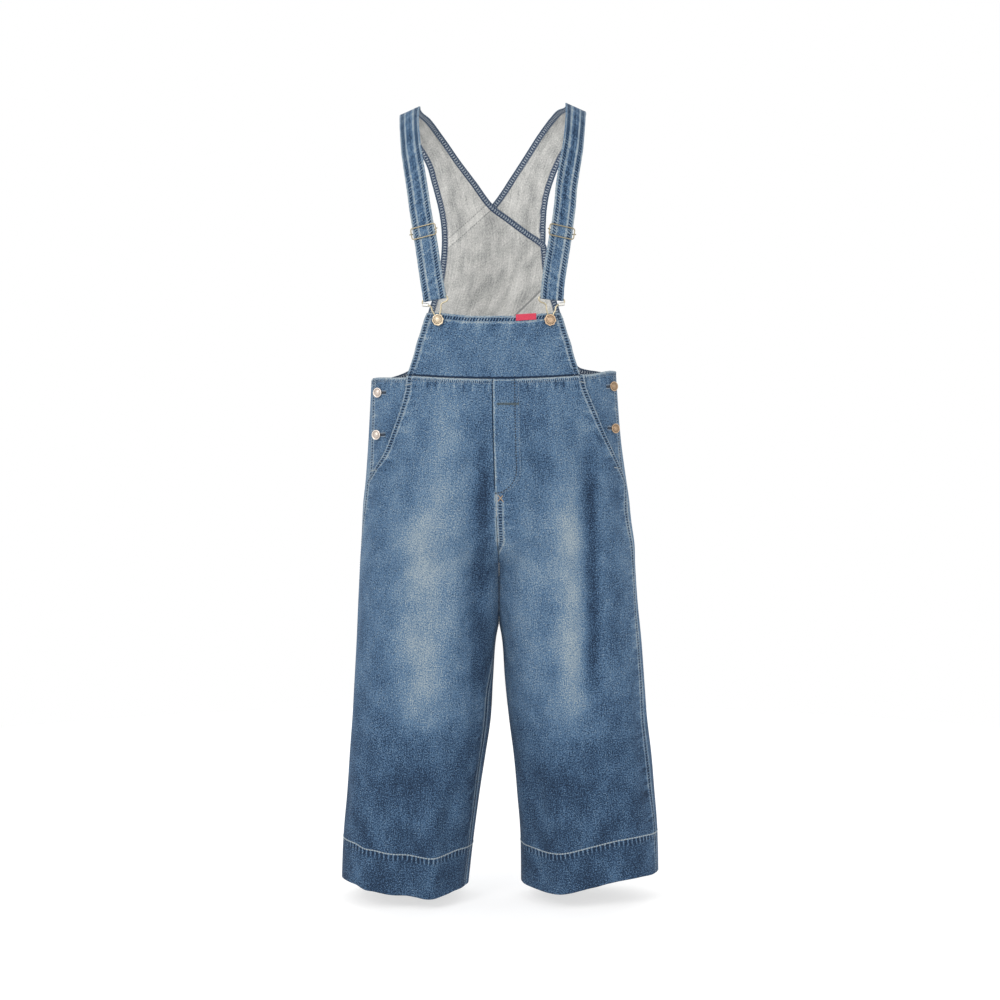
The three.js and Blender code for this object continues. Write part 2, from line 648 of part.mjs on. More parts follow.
// The pocket facing: the side piece from under the front's pocket edge to the buttoned opening.
function pocketFacing(side) {
  const levels = evenly(SIDE_TOP, FACING_FOOT, 9);
  const rows = levels.map((level) => {
    const path = outline(side, "front", level);
    const foot = smooth((SIDE_TOP - FACING_SINK.below - level) / FACING_SINK.over);
    const end = pocketStart(side, path, level) + POCKET_LAP;
    const arcs = evenly(SEAM_GAP / 2 + SEAM_GAP * foot, end, 7);
    return legRow(side, "front", path, level, arcs, () => FACING_SUNK + FACING_SINK.by * foot);
  });
  return sheet(rows, CLOTH);
}

// Depth of the body's front or back at a signed distance from the middle line, above the waist.
function depthAt(side, face, dist, z) {
  const ring = ringAt(side, Math.max(z, SIDE_TOP - 10));
  const share = clamp(Math.abs(dist) / ring.half, 0, 0.999);
  const depth = (1 - share ** ring.square) ** (1 / ring.square);
  return face === "front" ? -ring.front * depth : ring.back * depth;
}

// A point of the high back; near the shoulder it rounds over to the shoulder line.
function backPoint(side, dist, z) {
  const top = (SHOULDER.dist - dist) * SHOULDER.slope + side.shoulder;
  const t = clamp((top - z) / SHOULDER.backFall, 0, 1);
  const y = depthAt(side, "back", dist, z) * Math.sqrt(1 - (1 - t) * (1 - t));
  return new THREE.Vector3(MID_TOP + side.sign * dist, y, z);
}

const frontPoint = (side, dist, z) => {
  return new THREE.Vector3(MID_TOP + side.sign * dist, depthAt(side, "front", dist, z), z);
};

const minus = (a, b) => new THREE.Vector3().subVectors(a, b);

// Normals of a grid of points, turned away from a place in the body's middle just below them.
const MIDDLE_BELOW = 60;
function withNormals(grid) {
  const last = grid.length - 1;
  return grid.map((row, i) =>
    row.map((point, j) => {
      const down = minus(grid[Math.min(last, i + 1)][j], grid[Math.max(0, i - 1)][j]);
      const across = minus(row[Math.min(row.length - 1, j + 1)], row[Math.max(0, j - 1)]);
      const normal = new THREE.Vector3().crossVectors(down, across).normalize();
      const middle = new THREE.Vector3(MID_TOP, 0, point.z - MIDDLE_BELOW);
      if (normal.dot(minus(point, middle)) < 0) normal.negate();
      return { point, normal };
    }),
  );
}

const SIDES = {
  right: {
    sign: -1,
    rings: [...TORSO, ...LEG_RIGHT],
    seams: SEAMS_RIGHT,
    folds: FOLDS_RIGHT,
    waist: WAIST_LIFT.right,
    hem: HEM_RIGHT,
    pocket: POCKET_RIGHT,
    wing: WING_RIGHT,
    strap: STRAP_RIGHT,
    shoulder: SHOULDER_Z.right,
    clipTilt: CLIP_TILT.right,
    buttonDist: BIB_BUTTON_DIST.right,
    buttons: SIDE_BUTTONS.right,
  },
  left: {
    sign: 1,
    rings: [...TORSO, ...LEG_LEFT],
    seams: SEAMS_LEFT,
    folds: FOLDS_LEFT,
    waist: WAIST_LIFT.left,
    hem: HEM_LEFT,
    pocket: POCKET_LEFT,
    wing: WING_LEFT,
    strap: STRAP_LEFT,
    shoulder: SHOULDER_Z.left,
    clipTilt: CLIP_TILT.left,
    buttonDist: BIB_BUTTON_DIST.left,
    buttons: SIDE_BUTTONS.left,
  },
};

// The bib, from the waist seam to its top edge.
function bibFront() {
  const rows = evenly(0, 1, 9).map((up) =>
    evenly(-1, 1, 16).map((across) => {
      const near = column(BIB_SIDE, "z", "dist", mix(WAIST, BIB_TOP, up));
      const dist = across * near;
      const rise = smooth((Math.abs(dist) - BIB_EDGE.flat) / BIB_EDGE.ease);
      const top = BIB_TOP + BIB_EDGE.corner - BIB_EDGE.dip * (1 - rise);
      return frontPoint(SIDES.left, dist, mix(waistZ(dist) + SEAM_GAP / 2, top, up));
    }),
  );
  return sheet(withNormals(rows), CLOTH);
}

// The rows of a shoulder wing, from the strap seam down.
function wingRows(side, columns) {
  return WING_STEPS.map((step) => {
    const get = (name) => column(side.wing, "step", name, step);
    return evenly(0, 1, columns).map((t) =>
      backPoint(side, mix(get("arm"), get("neck"), t), mix(get("armZ"), get("neckZ"), t)),
    );
  });
}

const BACK_FOOT = SIDE_TOP + 3 * SEAM_GAP;
const BACK_LEVELS = [-228, -252, -290, -330, -368, -400, -425, -438, -444, -450, BACK_FOOT];
const BACK_COLUMNS = { bib: 16, wing: 8 };
// The high back with the right shoulder's wing, in one piece.
function backBib() {
  const wing = wingRows(SIDES.right, BACK_COLUMNS.bib);
  const body = BACK_LEVELS.map((z) => {
    const edge = column(ARMHOLE, "z", "dist", z);
    return evenly(edge, -edge, BACK_COLUMNS.bib).map((dist) => {
      const half = dist > 0 ? SIDES.right : SIDES.left;
      const point = backPoint(SIDES.right, dist, z);
      point.z += waistLift(half, "back", Math.abs(dist), Math.max(z, SIDE_TOP));
      return point;
    });
  });
  return sheet(withNormals([...wing, ...body]), CLOTH);
}

// The left shoulder's wing crosses over the outside of the back.
function backWing() {
  const rows = wingRows(SIDES.left, BACK_COLUMNS.wing);
  const foot = evenly(WING_FOOT.dist, -WING_FOOT.dist, BACK_COLUMNS.wing);
  rows.push(foot.map((dist) => backPoint(SIDES.left, dist, WING_FOOT.z)));
  const raised = withNormals(rows).map((row) =>
    row.map(({ point, normal }) => {
      const off = (CLOTH + WING_LIFT.gap) * smooth((WING_LIFT.from - point.z) / WING_LIFT.over);
      return { point: point.clone().addScaledVector(normal, off), normal };
    }),
  );
  return sheet(raised, CLOTH);
}

// A point of the figure's shoulder line and of the chest in front of it.
function shoulderPoint(side, dist, turn) {
  const top = (SHOULDER.dist - dist) * SHOULDER.slope + side.shoulder;
  const angle = radians(Math.min(turn, 90));
  const z = top - SHOULDER.chestFall * (1 - Math.cos(angle)) - Math.max(0, turn - 90);
  const y = depthAt(side, "front", dist, z) * Math.sin(angle);
  return new THREE.Vector3(MID_TOP + side.sign * dist, y, z);
}

// Where a button stands on the bib, with the clip's axes: across, up and out.
function clipFrame(side) {
  const origin = frontPoint(side, side.buttonDist, BIB_BUTTON.z);
  const out = new THREE.Vector3()
    .crossVectors(
      frontPoint(side, side.buttonDist + 1, BIB_BUTTON.z).sub(origin),
      frontPoint(side, side.buttonDist, BIB_BUTTON.z + 1).sub(origin),
    )
    .normalize();
  if (out.y > 0) out.negate();
  const tilt = radians(side.clipTilt);
  const across = new THREE.Vector3(side.sign * Math.cos(tilt), 0, -Math.sin(tilt));
  across.addScaledVector(out, -across.dot(out)).normalize();
  const up = new THREE.Vector3().crossVectors(across, out).normalize();
  if (up.z < 0) up.negate();
  return { origin, across, up, out };
}

// The strap's middle line from the clip's bar upward, with its axes at each step.
const STRAP_STEPS = 240;
const STRAP_SQUARE = 40; // by this turn from the seam its cross lines are square to it
function strapLine(side) {
  const clip = clipFrame(side);
  const foot = clip.origin.clone().addScaledVector(clip.up, CLIP_BAR);
  const footDist = side.sign * (foot.x - MID_TOP);
  const crest = (SHOULDER.dist - footDist) * SHOULDER.slope + side.shoulder;
  const footTurn = 90 + crest - SHOULDER.chestFall - foot.z;
  const lean = Math.tan(radians(side.clipTilt));
  const table = [
    ...side.strap,
    { turn: footTurn - STRAP_OFF.blend, dist: footDist + STRAP_OFF.blend * lean },
    { turn: footTurn, dist: footDist },
  ];
  const points = evenly(footTurn, STRAP_START, STRAP_STEPS).map((turn) => ({
    turn,
    dist: column(table, "turn", "dist", turn),
  }));
  let length = 0;
  return points.map(({ turn, dist }, k) => {
    const at = (i) => shoulderPoint(side, points[i].dist, points[i].turn);
    const point = at(k);
    if (k > 0) length += point.distanceTo(at(k - 1));
    const up = minus(at(Math.min(STRAP_STEPS, k + 1)), at(Math.max(0, k - 1))).normalize();
    const level = shoulderPoint(side, dist + 1, turn).sub(point).normalize();
    const across = level.addScaledVector(up, -level.dot(up) * smooth(turn / STRAP_SQUARE)).normalize();
    const out = new THREE.Vector3().crossVectors(up, across).multiplyScalar(-side.sign).normalize();
    const onBar = 1 - smooth(length / STRAP_OFF.blend);
    const bar = clip.origin.clone().addScaledVector(clip.up, CLIP_BAR + length);
    point.lerp(bar, onBar);
    across.lerp(clip.across, onBar);
    up.lerp(clip.up, onBar);
    out.lerp(clip.out, onBar);
    return { turn, length, point, up, across, out };
  });
}

function strapAt(line, length) {
  let k = 1;
  while (k < line.length - 1 && line[k].length < length) k += 1;
  const t = clamp((length - line[k - 1].length) / (line[k].length - line[k - 1].length), 0, 1);
  const lerp = (name) => line[k - 1][name].clone().lerp(line[k][name], t);
  return { point: lerp("point"), up: lerp("up"), across: lerp("across"), out: lerp("out") };
}

// A place by the strap's axes: across it, up along it from the clip's bar, and out.
function strapPlace(line, across, up, out) {
  const at = strapAt(line, Math.max(0, up));
  return at.point
    .addScaledVector(at.up, Math.min(0, up))
    .addScaledVector(at.across, across)
    .addScaledVector(at.out, out);
}

const sliderLength = (line) => line.find((step) => step.point.z > SLIDER.z).length;

function strapOff(line, up) {
  const total = line[line.length - 1].length;
  const bend = STRAP_OFF.bend * (1 - smooth(up / STRAP_OFF.ease));
  const flat = STRAP_OFF.half * smooth(up / STRAP_OFF.ease);
  const seat = smooth((total - up) / STRAP_OFF.seat);
  const hump = STRAP_OFF.bulge * Math.exp(-(((up - sliderLength(line)) / STRAP_OFF.spread) ** 2));
  return mix(STRAP_OFF.seam, STRAP_OFF.mid + bend + flat, seat) + hump;
}

// The strap: from the seam over the shoulder, down, round the clip's bar and up to the slider.
function strap(side) {
  const line = strapLine(side);
  const total = line[line.length - 1].length;
  const spots = [];
  const buckle = sliderLength(line);
  const plain = evenly(total - SEAM_GAP, 0, 26).filter((up) => Math.abs(up - buckle) > SLIDER_ROOM);
  const close = SLIDER_ROWS.map((step) => buckle + step);
  for (const up of [...plain, ...close, ...CLIP_ROWS].sort((a, b) => b - a)) {
    spots.push({ up, off: strapOff(line, up), nu: 0, no: 1 });
  }
  for (const angle of [30, 60, 90, 120, 150].map(radians)) {
    const [s, c] = [Math.sin(angle), Math.cos(angle)];
    spots.push({ up: -STRAP_OFF.bend * s, off: STRAP_OFF.mid + STRAP_OFF.bend * c, nu: -s, no: c });
  }
  const under = evenly(UNDER_LAYER.start, buckle - UNDER_LAYER.short, UNDER_LAYER.rows);
  for (const up of [0, ...CLIP_ROWS, ...under]) {
    const bend = STRAP_OFF.bend * (1 - smooth(up / STRAP_OFF.ease));
    const flat = STRAP_OFF.half * smooth(up / STRAP_OFF.ease);
    spots.push({ up, off: STRAP_OFF.mid - bend - flat, nu: 0, no: -1 });
  }
  const rows = spots.map(({ up, off, nu, no }) =>
    evenly(-STRAP_WIDTH / 2, STRAP_WIDTH / 2, STRAP_ACROSS).map((across) => {
      const at = strapAt(line, Math.max(0, up));
      const normal = at.up.clone().multiplyScalar(nu).addScaledVector(at.out, no).normalize();
      return { point: strapPlace(line, across, up, off), normal };
    }),
  );
  return sheet(rows, STRAP_CLOTH, STRAP_CLOTH / 2);
}

// A round wire along points in one plane; plane is that plane's normal.
function wire(points, plane, closed, sides = 6) {
  const count = points.length;
  const at = (i) => points[closed ? (i + count) % count : clamp(i, 0, count - 1)];
  const rings = points.map((point, i) => {
    const ahead = minus(at(i + 1), at(i - 1)).normalize();
    const beside = new THREE.Vector3().crossVectors(plane, ahead).normalize();
    return evenly(0, 2 * Math.PI, sides)
      .slice(0, sides)
      .map((angle) =>
        point
          .clone()
          .addScaledVector(beside, (Math.cos(angle) * WIRE) / 2)
          .addScaledVector(plane, (Math.sin(angle) * WIRE) / 2),
      );
  });
  const vertices = rings.flat();
  const index = [];
  const last = closed ? count : count - 1;
  for (let i = 0; i < last; i += 1) {
    for (let j = 0; j < sides; j += 1) {
      const a = i * sides + j;
      const b = i * sides + ((j + 1) % sides);
      const c = ((i + 1) % count) * sides + ((j + 1) % sides);
      const d = ((i + 1) % count) * sides + j;
      index.push(a, b, c, a, c, d);
    }
  }
  if (!closed) {
    for (let j = 1; j < sides - 1; j += 1) {
      index.push(0, j + 1, j);
      const end = (count - 1) * sides;
      index.push(end, end + j, end + j + 1);
    }
  }
  return closedGeometry(vertices, index);
}

// The clip: a wire loop with a bar for the strap and a narrow loop round the button's shank.
function clip(side) {
  const { origin, across, up, out } = clipFrame(side);
  const half = new THREE.CatmullRomCurve3(CLIP_WIRE.map((p) => new THREE.Vector3(p.across, p.up, 0)));
  const one = half.getSpacedPoints(15);
  const other = one.slice(1).reverse().map((p) => new THREE.Vector3(-p.x, p.y, 0));
  const points = [...one, ...other].map((p) =>
    origin.clone().addScaledVector(across, p.x).addScaledVector(up, p.y).addScaledVector(out, STRAP_OFF.mid),
  );
  return wire(points, out, true);
}

function solid(geometry) {
  const bare = geometry.clone();
  for (const name of Object.keys(bare.attributes)) {
    if (name !== "position") bare.deleteAttribute(name);
  }
  const merged = mergeVertices(bare, 1e-4);
  const vertProperties = new Float32Array(merged.attributes.position.array);
  const triVerts = new Uint32Array(merged.index.array);
  return new wasm.Manifold(new wasm.Mesh({ numProp: 3, vertProperties, triVerts }));
}

function fromSolid(manifold) {
  const mesh = manifold.getMesh();
  const geometry = new THREE.BufferGeometry();
  geometry.setAttribute("position", new THREE.BufferAttribute(mesh.vertProperties, mesh.numProp));
  geometry.setIndex(new THREE.BufferAttribute(mesh.triVerts, 1));
  geometry.computeVertexNormals();
  return geometry;
}

// The slider: a wire frame over the strap, with a bar under it whose ends stick out.
function slider(side) {
  const line = strapLine(side);
  const at = strapAt(line, sliderLength(line));
  const place = (across, up, out) =>
    at.point
      .clone()
      .addScaledVector(at.across, across)
      .addScaledVector(at.up, up)
      .addScaledVector(at.out, out);
  const { width, height, corner, off, bar } = SLIDER;
  const corners = [];
  for (const [sx, sy, from] of [[1, 1, 0], [-1, 1, 90], [-1, -1, 180], [1, -1, 270]]) {
    for (const angle of [0, 30, 60, 90].map((a) => radians(a + from))) {
      const x = sx * (width / 2 - corner) + corner * Math.cos(angle);
      const y = sy * (height / 2 - corner) + corner * Math.sin(angle);
      corners.push(place(x, y, off));
    }
  }
  const half = SLIDER_BAR.map((p) => ({ x: width / 2 + p.across, o: mix(bar, off, p.up) }));
  const path = [...half, ...half.map(({ x, o }) => ({ x: -x, o })).reverse()];
  const frame = solid(wire(corners, at.out, true));
  const middle = solid(wire(path.map(({ x, o }) => place(x, 0, o)), at.up, false));
  return fromSolid(frame.add(middle));
}

// A turned shape on a seat: profile rows give radius and height; the rim may have lobes, and a
// row may turn about the seat's up axis by its share of the seat's turn.
function turned(profile, seat, sides, lobes = 0) {
  const { origin, across, up, out, turn: fullTurn = 0 } = seat;
  const place = (side, rise, { height, turn = 0 }) =>
    new THREE.Vector3()
      .addScaledVector(across, side)
      .addScaledVector(up, rise)
      .addScaledVector(out, height)
      .applyAxisAngle(up, turn * fullTurn)
      .add(origin);
  const points = [];
  const index = [];
  for (const row of profile) {
    for (let k = 0; k < sides; k += 1) {
      const angle = (2 * Math.PI * k) / sides;
      const r = row.radius * (1 + (row.lobed ? LOBE * Math.cos(lobes * angle) : 0));
      points.push(place(r * Math.cos(angle), r * Math.sin(angle), row));
    }
  }
  for (let i = 0; i < profile.length - 1; i += 1) {
    for (let k = 0; k < sides; k += 1) {
      const next = (k + 1) % sides;
      const [a, b] = [i * sides + k, i * sides + next];
      index.push(a, b, b + sides, a, b + sides, a + sides);
    }
  }
  const first = points.length;
  points.push(place(0, 0, profile[0]), place(0, 0, profile[profile.length - 1]));
  const end = (profile.length - 1) * sides;
  for (let k = 0; k < sides; k += 1) {
    const next = (k + 1) % sides;
    index.push(first, next, k, first + 1, end + k, end + next);
  }
  return closedGeometry(points, index);
}

const bibButton = (side) => turned(BIB_BUTTON_PROFILE, clipFrame(side), BIB_BUTTON.sides, BIB_BUTTON.lobes);

function sideButton(side, { z, inset }) {
  const path = outline(side, "front", z);
  const [seat] = legRow(side, "front", path, z, [inset], () => FACING_SUNK);
  const up = new THREE.Vector3(0, 0, 1);
  const across = new THREE.Vector3().crossVectors(up, seat.normal).normalize();
  const turn = -Math.sign(seat.normal.x) * SIDE_BUTTON_TURN;
  const frame = { origin: seat.point, across, up, out: seat.normal, turn };
  return turned(SIDE_BUTTON_PROFILE, frame, SIDE_BUTTON_SIDES);
}

// The fly: the left front's lap, from just over the middle line to its curved foot.
function fly() {
  const side = SIDES.left;
  const levels = evenly(WAIST, FLY.foot, 11);
  const rows = levels.map((level, i) => {
    const path = outline(side, "front", level);
    const left = level - FLY.foot;
    const round = clamp(left / FLY.curve, 0, 1);
    const width = mix(FLY.toe, FLY.width, Math.sqrt(1 - (1 - round) ** 2));
    const arcs = evenly(path.total - width, path.total - SEAM_GAP / 2, 5);
    const row = legRow(side, "front", path, level, arcs, () => 0, i === 0);
    const lap = row[row.length - 1];
    lap.point.x = path.ring.mid - FLY.over;
    return row;
  });
  return sheet(rows, FLY.thick, SEAM_GAP + FLY.thick);
}

// A bare woven tab sewn at the bib's top edge.
function tab() {
  const rows = evenly(-TAB.height / 2, TAB.height / 2, 1).map((up) =>
    evenly(TAB.from, TAB.to, 3).map((dist) => {
      return frontPoint(SIDES.left, dist, TAB.z + up + TAB.tilt * (dist - TAB.from));
    }),
  );
  return sheet(withNormals(rows), TAB.thick, SEAM_GAP + TAB.thick);
}

for (const [name, side] of Object.entries(SIDES)) {
  add(`front_leg_${name}`, legPanel(side, "front"), DENIM);
  add(`back_leg_${name}`, legPanel(side, "back"), DENIM);
  add(`pocket_facing_${name}`, pocketFacing(side), DENIM);
  add(`strap_${name}`, strap(side), DENIM);
  add(`slider_${name}`, slider(side), STEEL);
  add(`clip_${name}`, clip(side), STEEL);
  add(`bib_button_${name}`, bibButton(side), BRASS);
  for (const [place, button] of Object.entries(side.buttons)) {
    add(`side_button_${name}_${place}`, sideButton(side, button), BRASS);
  }
}
add("bib_front", bibFront(), DENIM);
add("back_bib", backBib(), DENIM);
add("back_wing", backWing(), DENIM);
add("fly_lap", fly(), DENIM);
add("tab_label", tab(), TAB_RED);

export default garment;
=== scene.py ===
# The look of the denim dungarees: fine cloth shells on the solids' form, with folds, faded
# denim, stitches and metal hardware. Tables are in millimetres; meshes are made in metres.
# The front faces -Y and the wearer's left is +X. Right and left are the wearer's.
import json
import math

import bpy
import numpy as np
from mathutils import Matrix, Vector, noise

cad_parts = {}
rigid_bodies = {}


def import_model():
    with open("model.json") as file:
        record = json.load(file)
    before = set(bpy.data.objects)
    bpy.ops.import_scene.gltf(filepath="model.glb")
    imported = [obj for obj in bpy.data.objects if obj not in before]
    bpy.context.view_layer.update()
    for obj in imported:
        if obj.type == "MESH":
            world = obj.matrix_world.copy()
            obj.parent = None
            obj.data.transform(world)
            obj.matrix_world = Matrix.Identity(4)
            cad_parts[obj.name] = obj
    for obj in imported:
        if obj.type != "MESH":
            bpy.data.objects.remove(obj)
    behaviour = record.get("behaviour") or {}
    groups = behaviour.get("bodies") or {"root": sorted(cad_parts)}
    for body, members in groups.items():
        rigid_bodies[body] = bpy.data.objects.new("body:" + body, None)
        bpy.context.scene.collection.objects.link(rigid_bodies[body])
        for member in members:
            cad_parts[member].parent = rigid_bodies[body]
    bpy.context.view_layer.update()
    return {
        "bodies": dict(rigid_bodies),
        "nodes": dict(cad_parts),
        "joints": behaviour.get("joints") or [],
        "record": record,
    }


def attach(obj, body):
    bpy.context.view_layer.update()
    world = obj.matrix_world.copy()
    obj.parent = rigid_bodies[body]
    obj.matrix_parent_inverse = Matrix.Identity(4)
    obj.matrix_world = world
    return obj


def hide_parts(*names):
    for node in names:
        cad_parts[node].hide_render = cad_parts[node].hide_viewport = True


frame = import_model()

MM = 0.001
CLOTH = 1.6
HEM_CLOTH = 3.0
SEAM_GAP = 0.3
LAP_GAP = 0.8
MEDIAN_GAP = 0.3
HEM_HEIGHT = 67
STRAP_WIDTH = 37
STRAP_CLOTH = 1.8
WIRE = 2.1
WAIST = -466
SIDE_TOP = -456
CROTCH = -773
HEM = -1316
HEM_TOP = HEM + HEM_HEIGHT
BIB_TOP = -363
OPENING_FOOT = -604
POCKET_FOOT = -622
FACING_FOOT = POCKET_FOOT + 8
MID_TOP = -8.5


def table(names, *rows):
    """A short table as a dictionary of columns."""
    return {name: np.array([row[k] for row in rows], float) for k, name in enumerate(names.split())}


def joined(*tables):
    return {name: np.concatenate([t[name] for t in tables]) for name in tables[0]}


# The body's outline at each height, as in the solids
RING_COLUMNS = "z mid outer inner front back square"
TORSO = table(
    RING_COLUMNS,
    (60, MID_TOP, 188, -188, -108, 106, 2.5),
    (-213, MID_TOP, 190, -190, -112, 106, 2.5),
    (-363, MID_TOP, 204, -204, -114, 97, 2.5),
    (-459, MID_TOP, 210, -210, -114, 90, 2.5),
    (-561, -7, 216, -214, -118, 112, 2.45),
    (-629, -5, 222.5, -200, -116, 124, 2.4),
    (-697, -4, 227.5, -140, -110, 122, 2.35),
    (-740, -2, 231.5, -60, -105, 115, 2.3),
)
LEG_RIGHT = table(
    RING_COLUMNS,
    (CROTCH, 0, 235.5, -14, -102, 109, 2.3),
    (-833, 0, 238.5, -9, -101, 105, 2.3),
    (-901, 0, 241.5, 5, -99, 101, 2.25),
    (-969, 0, 245, 10, -98, 98, 2.25),
    (-1037, 0, 248.5, 14, -96, 96, 2.25),
    (-1105, 0, 253, 24, -95, 94, 2.3),
    (-1173, 0, 257, 34, -94, 92, 2.3),
    (-1241, 0, 263, 43, -92, 90, 2.35),
    (HEM - 10, 0, 266, 53, -90, 89, 2.4),
)
LEG_LEFT = table(
    RING_COLUMNS,
    (CROTCH, 0, 230.5, -14, -102, 109, 2.3),
    (-833, 0, 234.5, -9, -101, 105, 2.3),
    (-901, 0, 241.5, 5, -98, 101, 2.2),
    (-969, 0, 246.5, 10, -96, 97, 2.2),
    (-1037, 0, 251.5, 17, -93, 93, 2.2),
    (-1105, 0, 258.5, 25.5, -90, 89, 2.15),
    (-1173, 0, 263.5, 31, -88, 86, 2.15),
    (-1241, 0, 268.5, 36, -86, 84, 2.1),
    (HEM - 10, 0, 270.5, 37.5, -84, 82, 2.1),
)
SEAMS_RIGHT = table(
    "z side inseam",
    (SIDE_TOP, 15, -5),
    (-630, 16, -5),
    (-700, 12, -5),
    (-790, -2, -4),
    (-901, -8, 6),
    (-1010, -10, 19),
    (HEM, -10, 15),
)
SEAMS_LEFT = table(
    "z side inseam",
    (SIDE_TOP, 12, -5),
    (-630, 14, -5),
    (-700, 18, -5),
    (-833, 17, -8),
    (-901, 20, -14),
    (-1105, 23, -18),
    (HEM, 14, -16),
)
# Folds: distance from the middle line at the top and the bottom, heights, how far it stands
# out and half its width. The last rows of each list are smaller creases.
FOLD_COLUMNS = "from to top bottom out wide"
FOLDS = {
    ("right", "front"): table(
        FOLD_COLUMNS,
        (34, 40, -560, -1075, -8, 14),
        (70, 84, -520, -1000, 4, 20),
        (116, 122, -470, -640, -3, 12),
        (158, 186, -500, -800, -4, 13),
        (104, 114, -1120, -1420, 13, 22),
        (150, 150, -1120, -1420, -5, 18),
    ),
    ("right", "back"): table(
        FOLD_COLUMNS,
        (60, 70, -760, -1100, -7, 16),
        (120, 140, -560, -900, -5, 15),
        (150, 165, -1000, -1420, 9, 24),
        (110, 105, -1100, -1420, -5, 18),
    ),
    ("left", "front"): table(
        FOLD_COLUMNS,
        (70, 72, -490, -820, -4, 13),
        (105, 110, -540, -1080, 5, 18),
        (148, 156, -520, -1060, -7, 15),
        (22, 22, -640, -860, -3, 11),
        (104, 112, -1080, -1420, 15, 24),
        (170, 180, -1130, -1420, -4, 26),
    ),
    ("left", "back"): table(
        FOLD_COLUMNS,
        (66, 60, -760, -1150, -7, 16),
        (130, 120, -560, -880, -5, 15),
        (130, 120, -1000, -1420, 9, 24),
        (180, 190, -1050, -1420, -5, 20),
    ),
}
HEM_LIFT = {
    "right": table("dist lift", (40, 3), (69, 3.4), (88, -1), (106, -3.7), (124, -3), (150, -0.5), (180, 2), (205, 6.5), (222, 8), (238, 14), (266, 16)),
    "left": table("dist lift", (30, 7), (58, 4), (78, 1), (97, 1.5), (117, 5.4), (157, 12.6), (197, 21), (217, 23.6), (240, 25), (270, 24)),
}
POCKET = {
    "right": table(
        "z dist",
        (-456, 140),
        (-468, 142.5),
        (-520, 156),
        (-553, 169),
        (-590, 185.5),
        (POCKET_FOOT, 207),
    ),
    "left": table(
        "z dist",
        (-456, 145),
        (-468, 148),
        (-531, 172),
        (-566, 187),
        (-600, 203),
        (POCKET_FOOT, 212),
    ),
}
POCKET_LAP = 14
FACING_SUNK = CLOTH + LAP_GAP
STAND = {"reach": 9, "sunk": 6.4, "spread": 60, "fade": 10, "foot": 70}
BIB_SIDE = table(
    "z dist", (-360, 108), (-373, 113.5), (-393, 119.5), (-412, 126), (-432, 131), (-451, 137), (-470, 143)
)
BIB_DIP = 6
WAIST_SAG = {"low": -469, "rise": 7, "at": 140}
ARMHOLE = table(
    "z dist",
    (-209, 91.5),
    (-250, 95),
    (-292, 102),
    (-323, 112),
    (-360, 122),
    (-400, 132),
    (-425, 140),
    (-438, 150),
    (-445, 168),
    (-451, 190),
    (-456, 206),
)
WINGS = {
    "right": table(
        "step arm armZ neck neckZ",
        (0, 160.2, -14.35, 125.8, -0.45),
        (1, 151, -27, 110.5, -4.6),
        (2, 135, -50, 91.5, -23.7),
        (3, 118.5, -79, 62, -64.8),
        (4, 110.5, -106, 32, -104.1),
        (5, 104, -130, 3, -143),
        (6, 98, -154, -26, -165.2),
        (7, 93.6, -182, -56, -188.1),
        (8, 92.2, -207, -89, -213),
    ),
    "left": table(
        "step arm armZ neck neckZ",
        (0, 156.7, -8.94, 122.3, 4.96),
        (1, 148.5, -21, 107, 5.8),
        (2, 134, -44, 86, -10.5),
        (3, 116, -73, 59, -49.6),
        (4, 104.4, -101, 30.4, -93),
        (5, 96.2, -128, 2, -135.5),
        (6, 92, -154, -26, -166),
        (7, 90.3, -182, -56, -188),
        (8, 90, -206, -88, -209),
    ),
}
WAIST_LIFT = {"right": {"side": -6, "pocket": -9}, "left": {"side": 6, "pocket": -4}}
LIFT_FRONT = {"start": 115, "over": 25, "pocket": 150, "side": 55}
LIFT_BACK = {"start": 100, "over": 100}
LIFT_FADE = {"below": -540, "foot": 84, "above": -400, "top": 50}
WING_LIFT = {"from": -30, "over": 50, "gap": 1.3}
WING_FOOT = -222
SHOULDER = {"dist": 142, "slope": math.tan(math.radians(22)), "backFall": 45, "chestFall": 90}
STRAP_START = 0
STRAP_SQUARE = 40
STRAPS = {
    "right": table(
        "turn dist",
        (STRAP_START, 143),
        (60, 138),
        (156, 124.2),
        (196, 118.8),
        (249, 110.5),
    ),
    "left": table(
        "turn dist",
        (STRAP_START, 139.5),
        (60, 133),
        (156, 118.5),
        (196, 115),
        (249, 108),
    ),
}
STRAP_OFF = {
    "mid": 1.75,
    "half": 1.3,
    "bend": 2.4,
    "ease": 16,
    "seam": -0.9,
    "seat": 110,
    "bulge": 1.4,
    "spread": 6.5,
    "blend": 30,
}
CLIP_BAR = 36.3
CLIP_WIRE = [
    (0, -4.2),
    (3.0, -3.0),
    (4.1, 0),
    (4.0, 7.5),
    (5.4, 12),
    (7.4, 17),
    (7.9, 21.5),
    (9.6, 25),
    (13.5, 26.8),
    (18.2, 28),
    (21, 30.6),
    (21.1, 34),
    (19.6, 36),
    (17, CLIP_BAR),
]
SLIDER = {"z": -229, "width": 43, "height": 18.4, "corner": 4, "off": 5.6, "bar": 1.95, "prong": 24.5}
BIB_BUTTON = {"z": -373, "radius": 9.5, "shank": 2.3, "under": 3.1, "lobes": 8}
FLY = {"width": 42, "foot": -655, "curve": 40, "over": 1.6}
TAB = {"from": 36, "to": 69, "z": -369.5, "height": 10, "thick": 0.8, "tilt": 0.07}

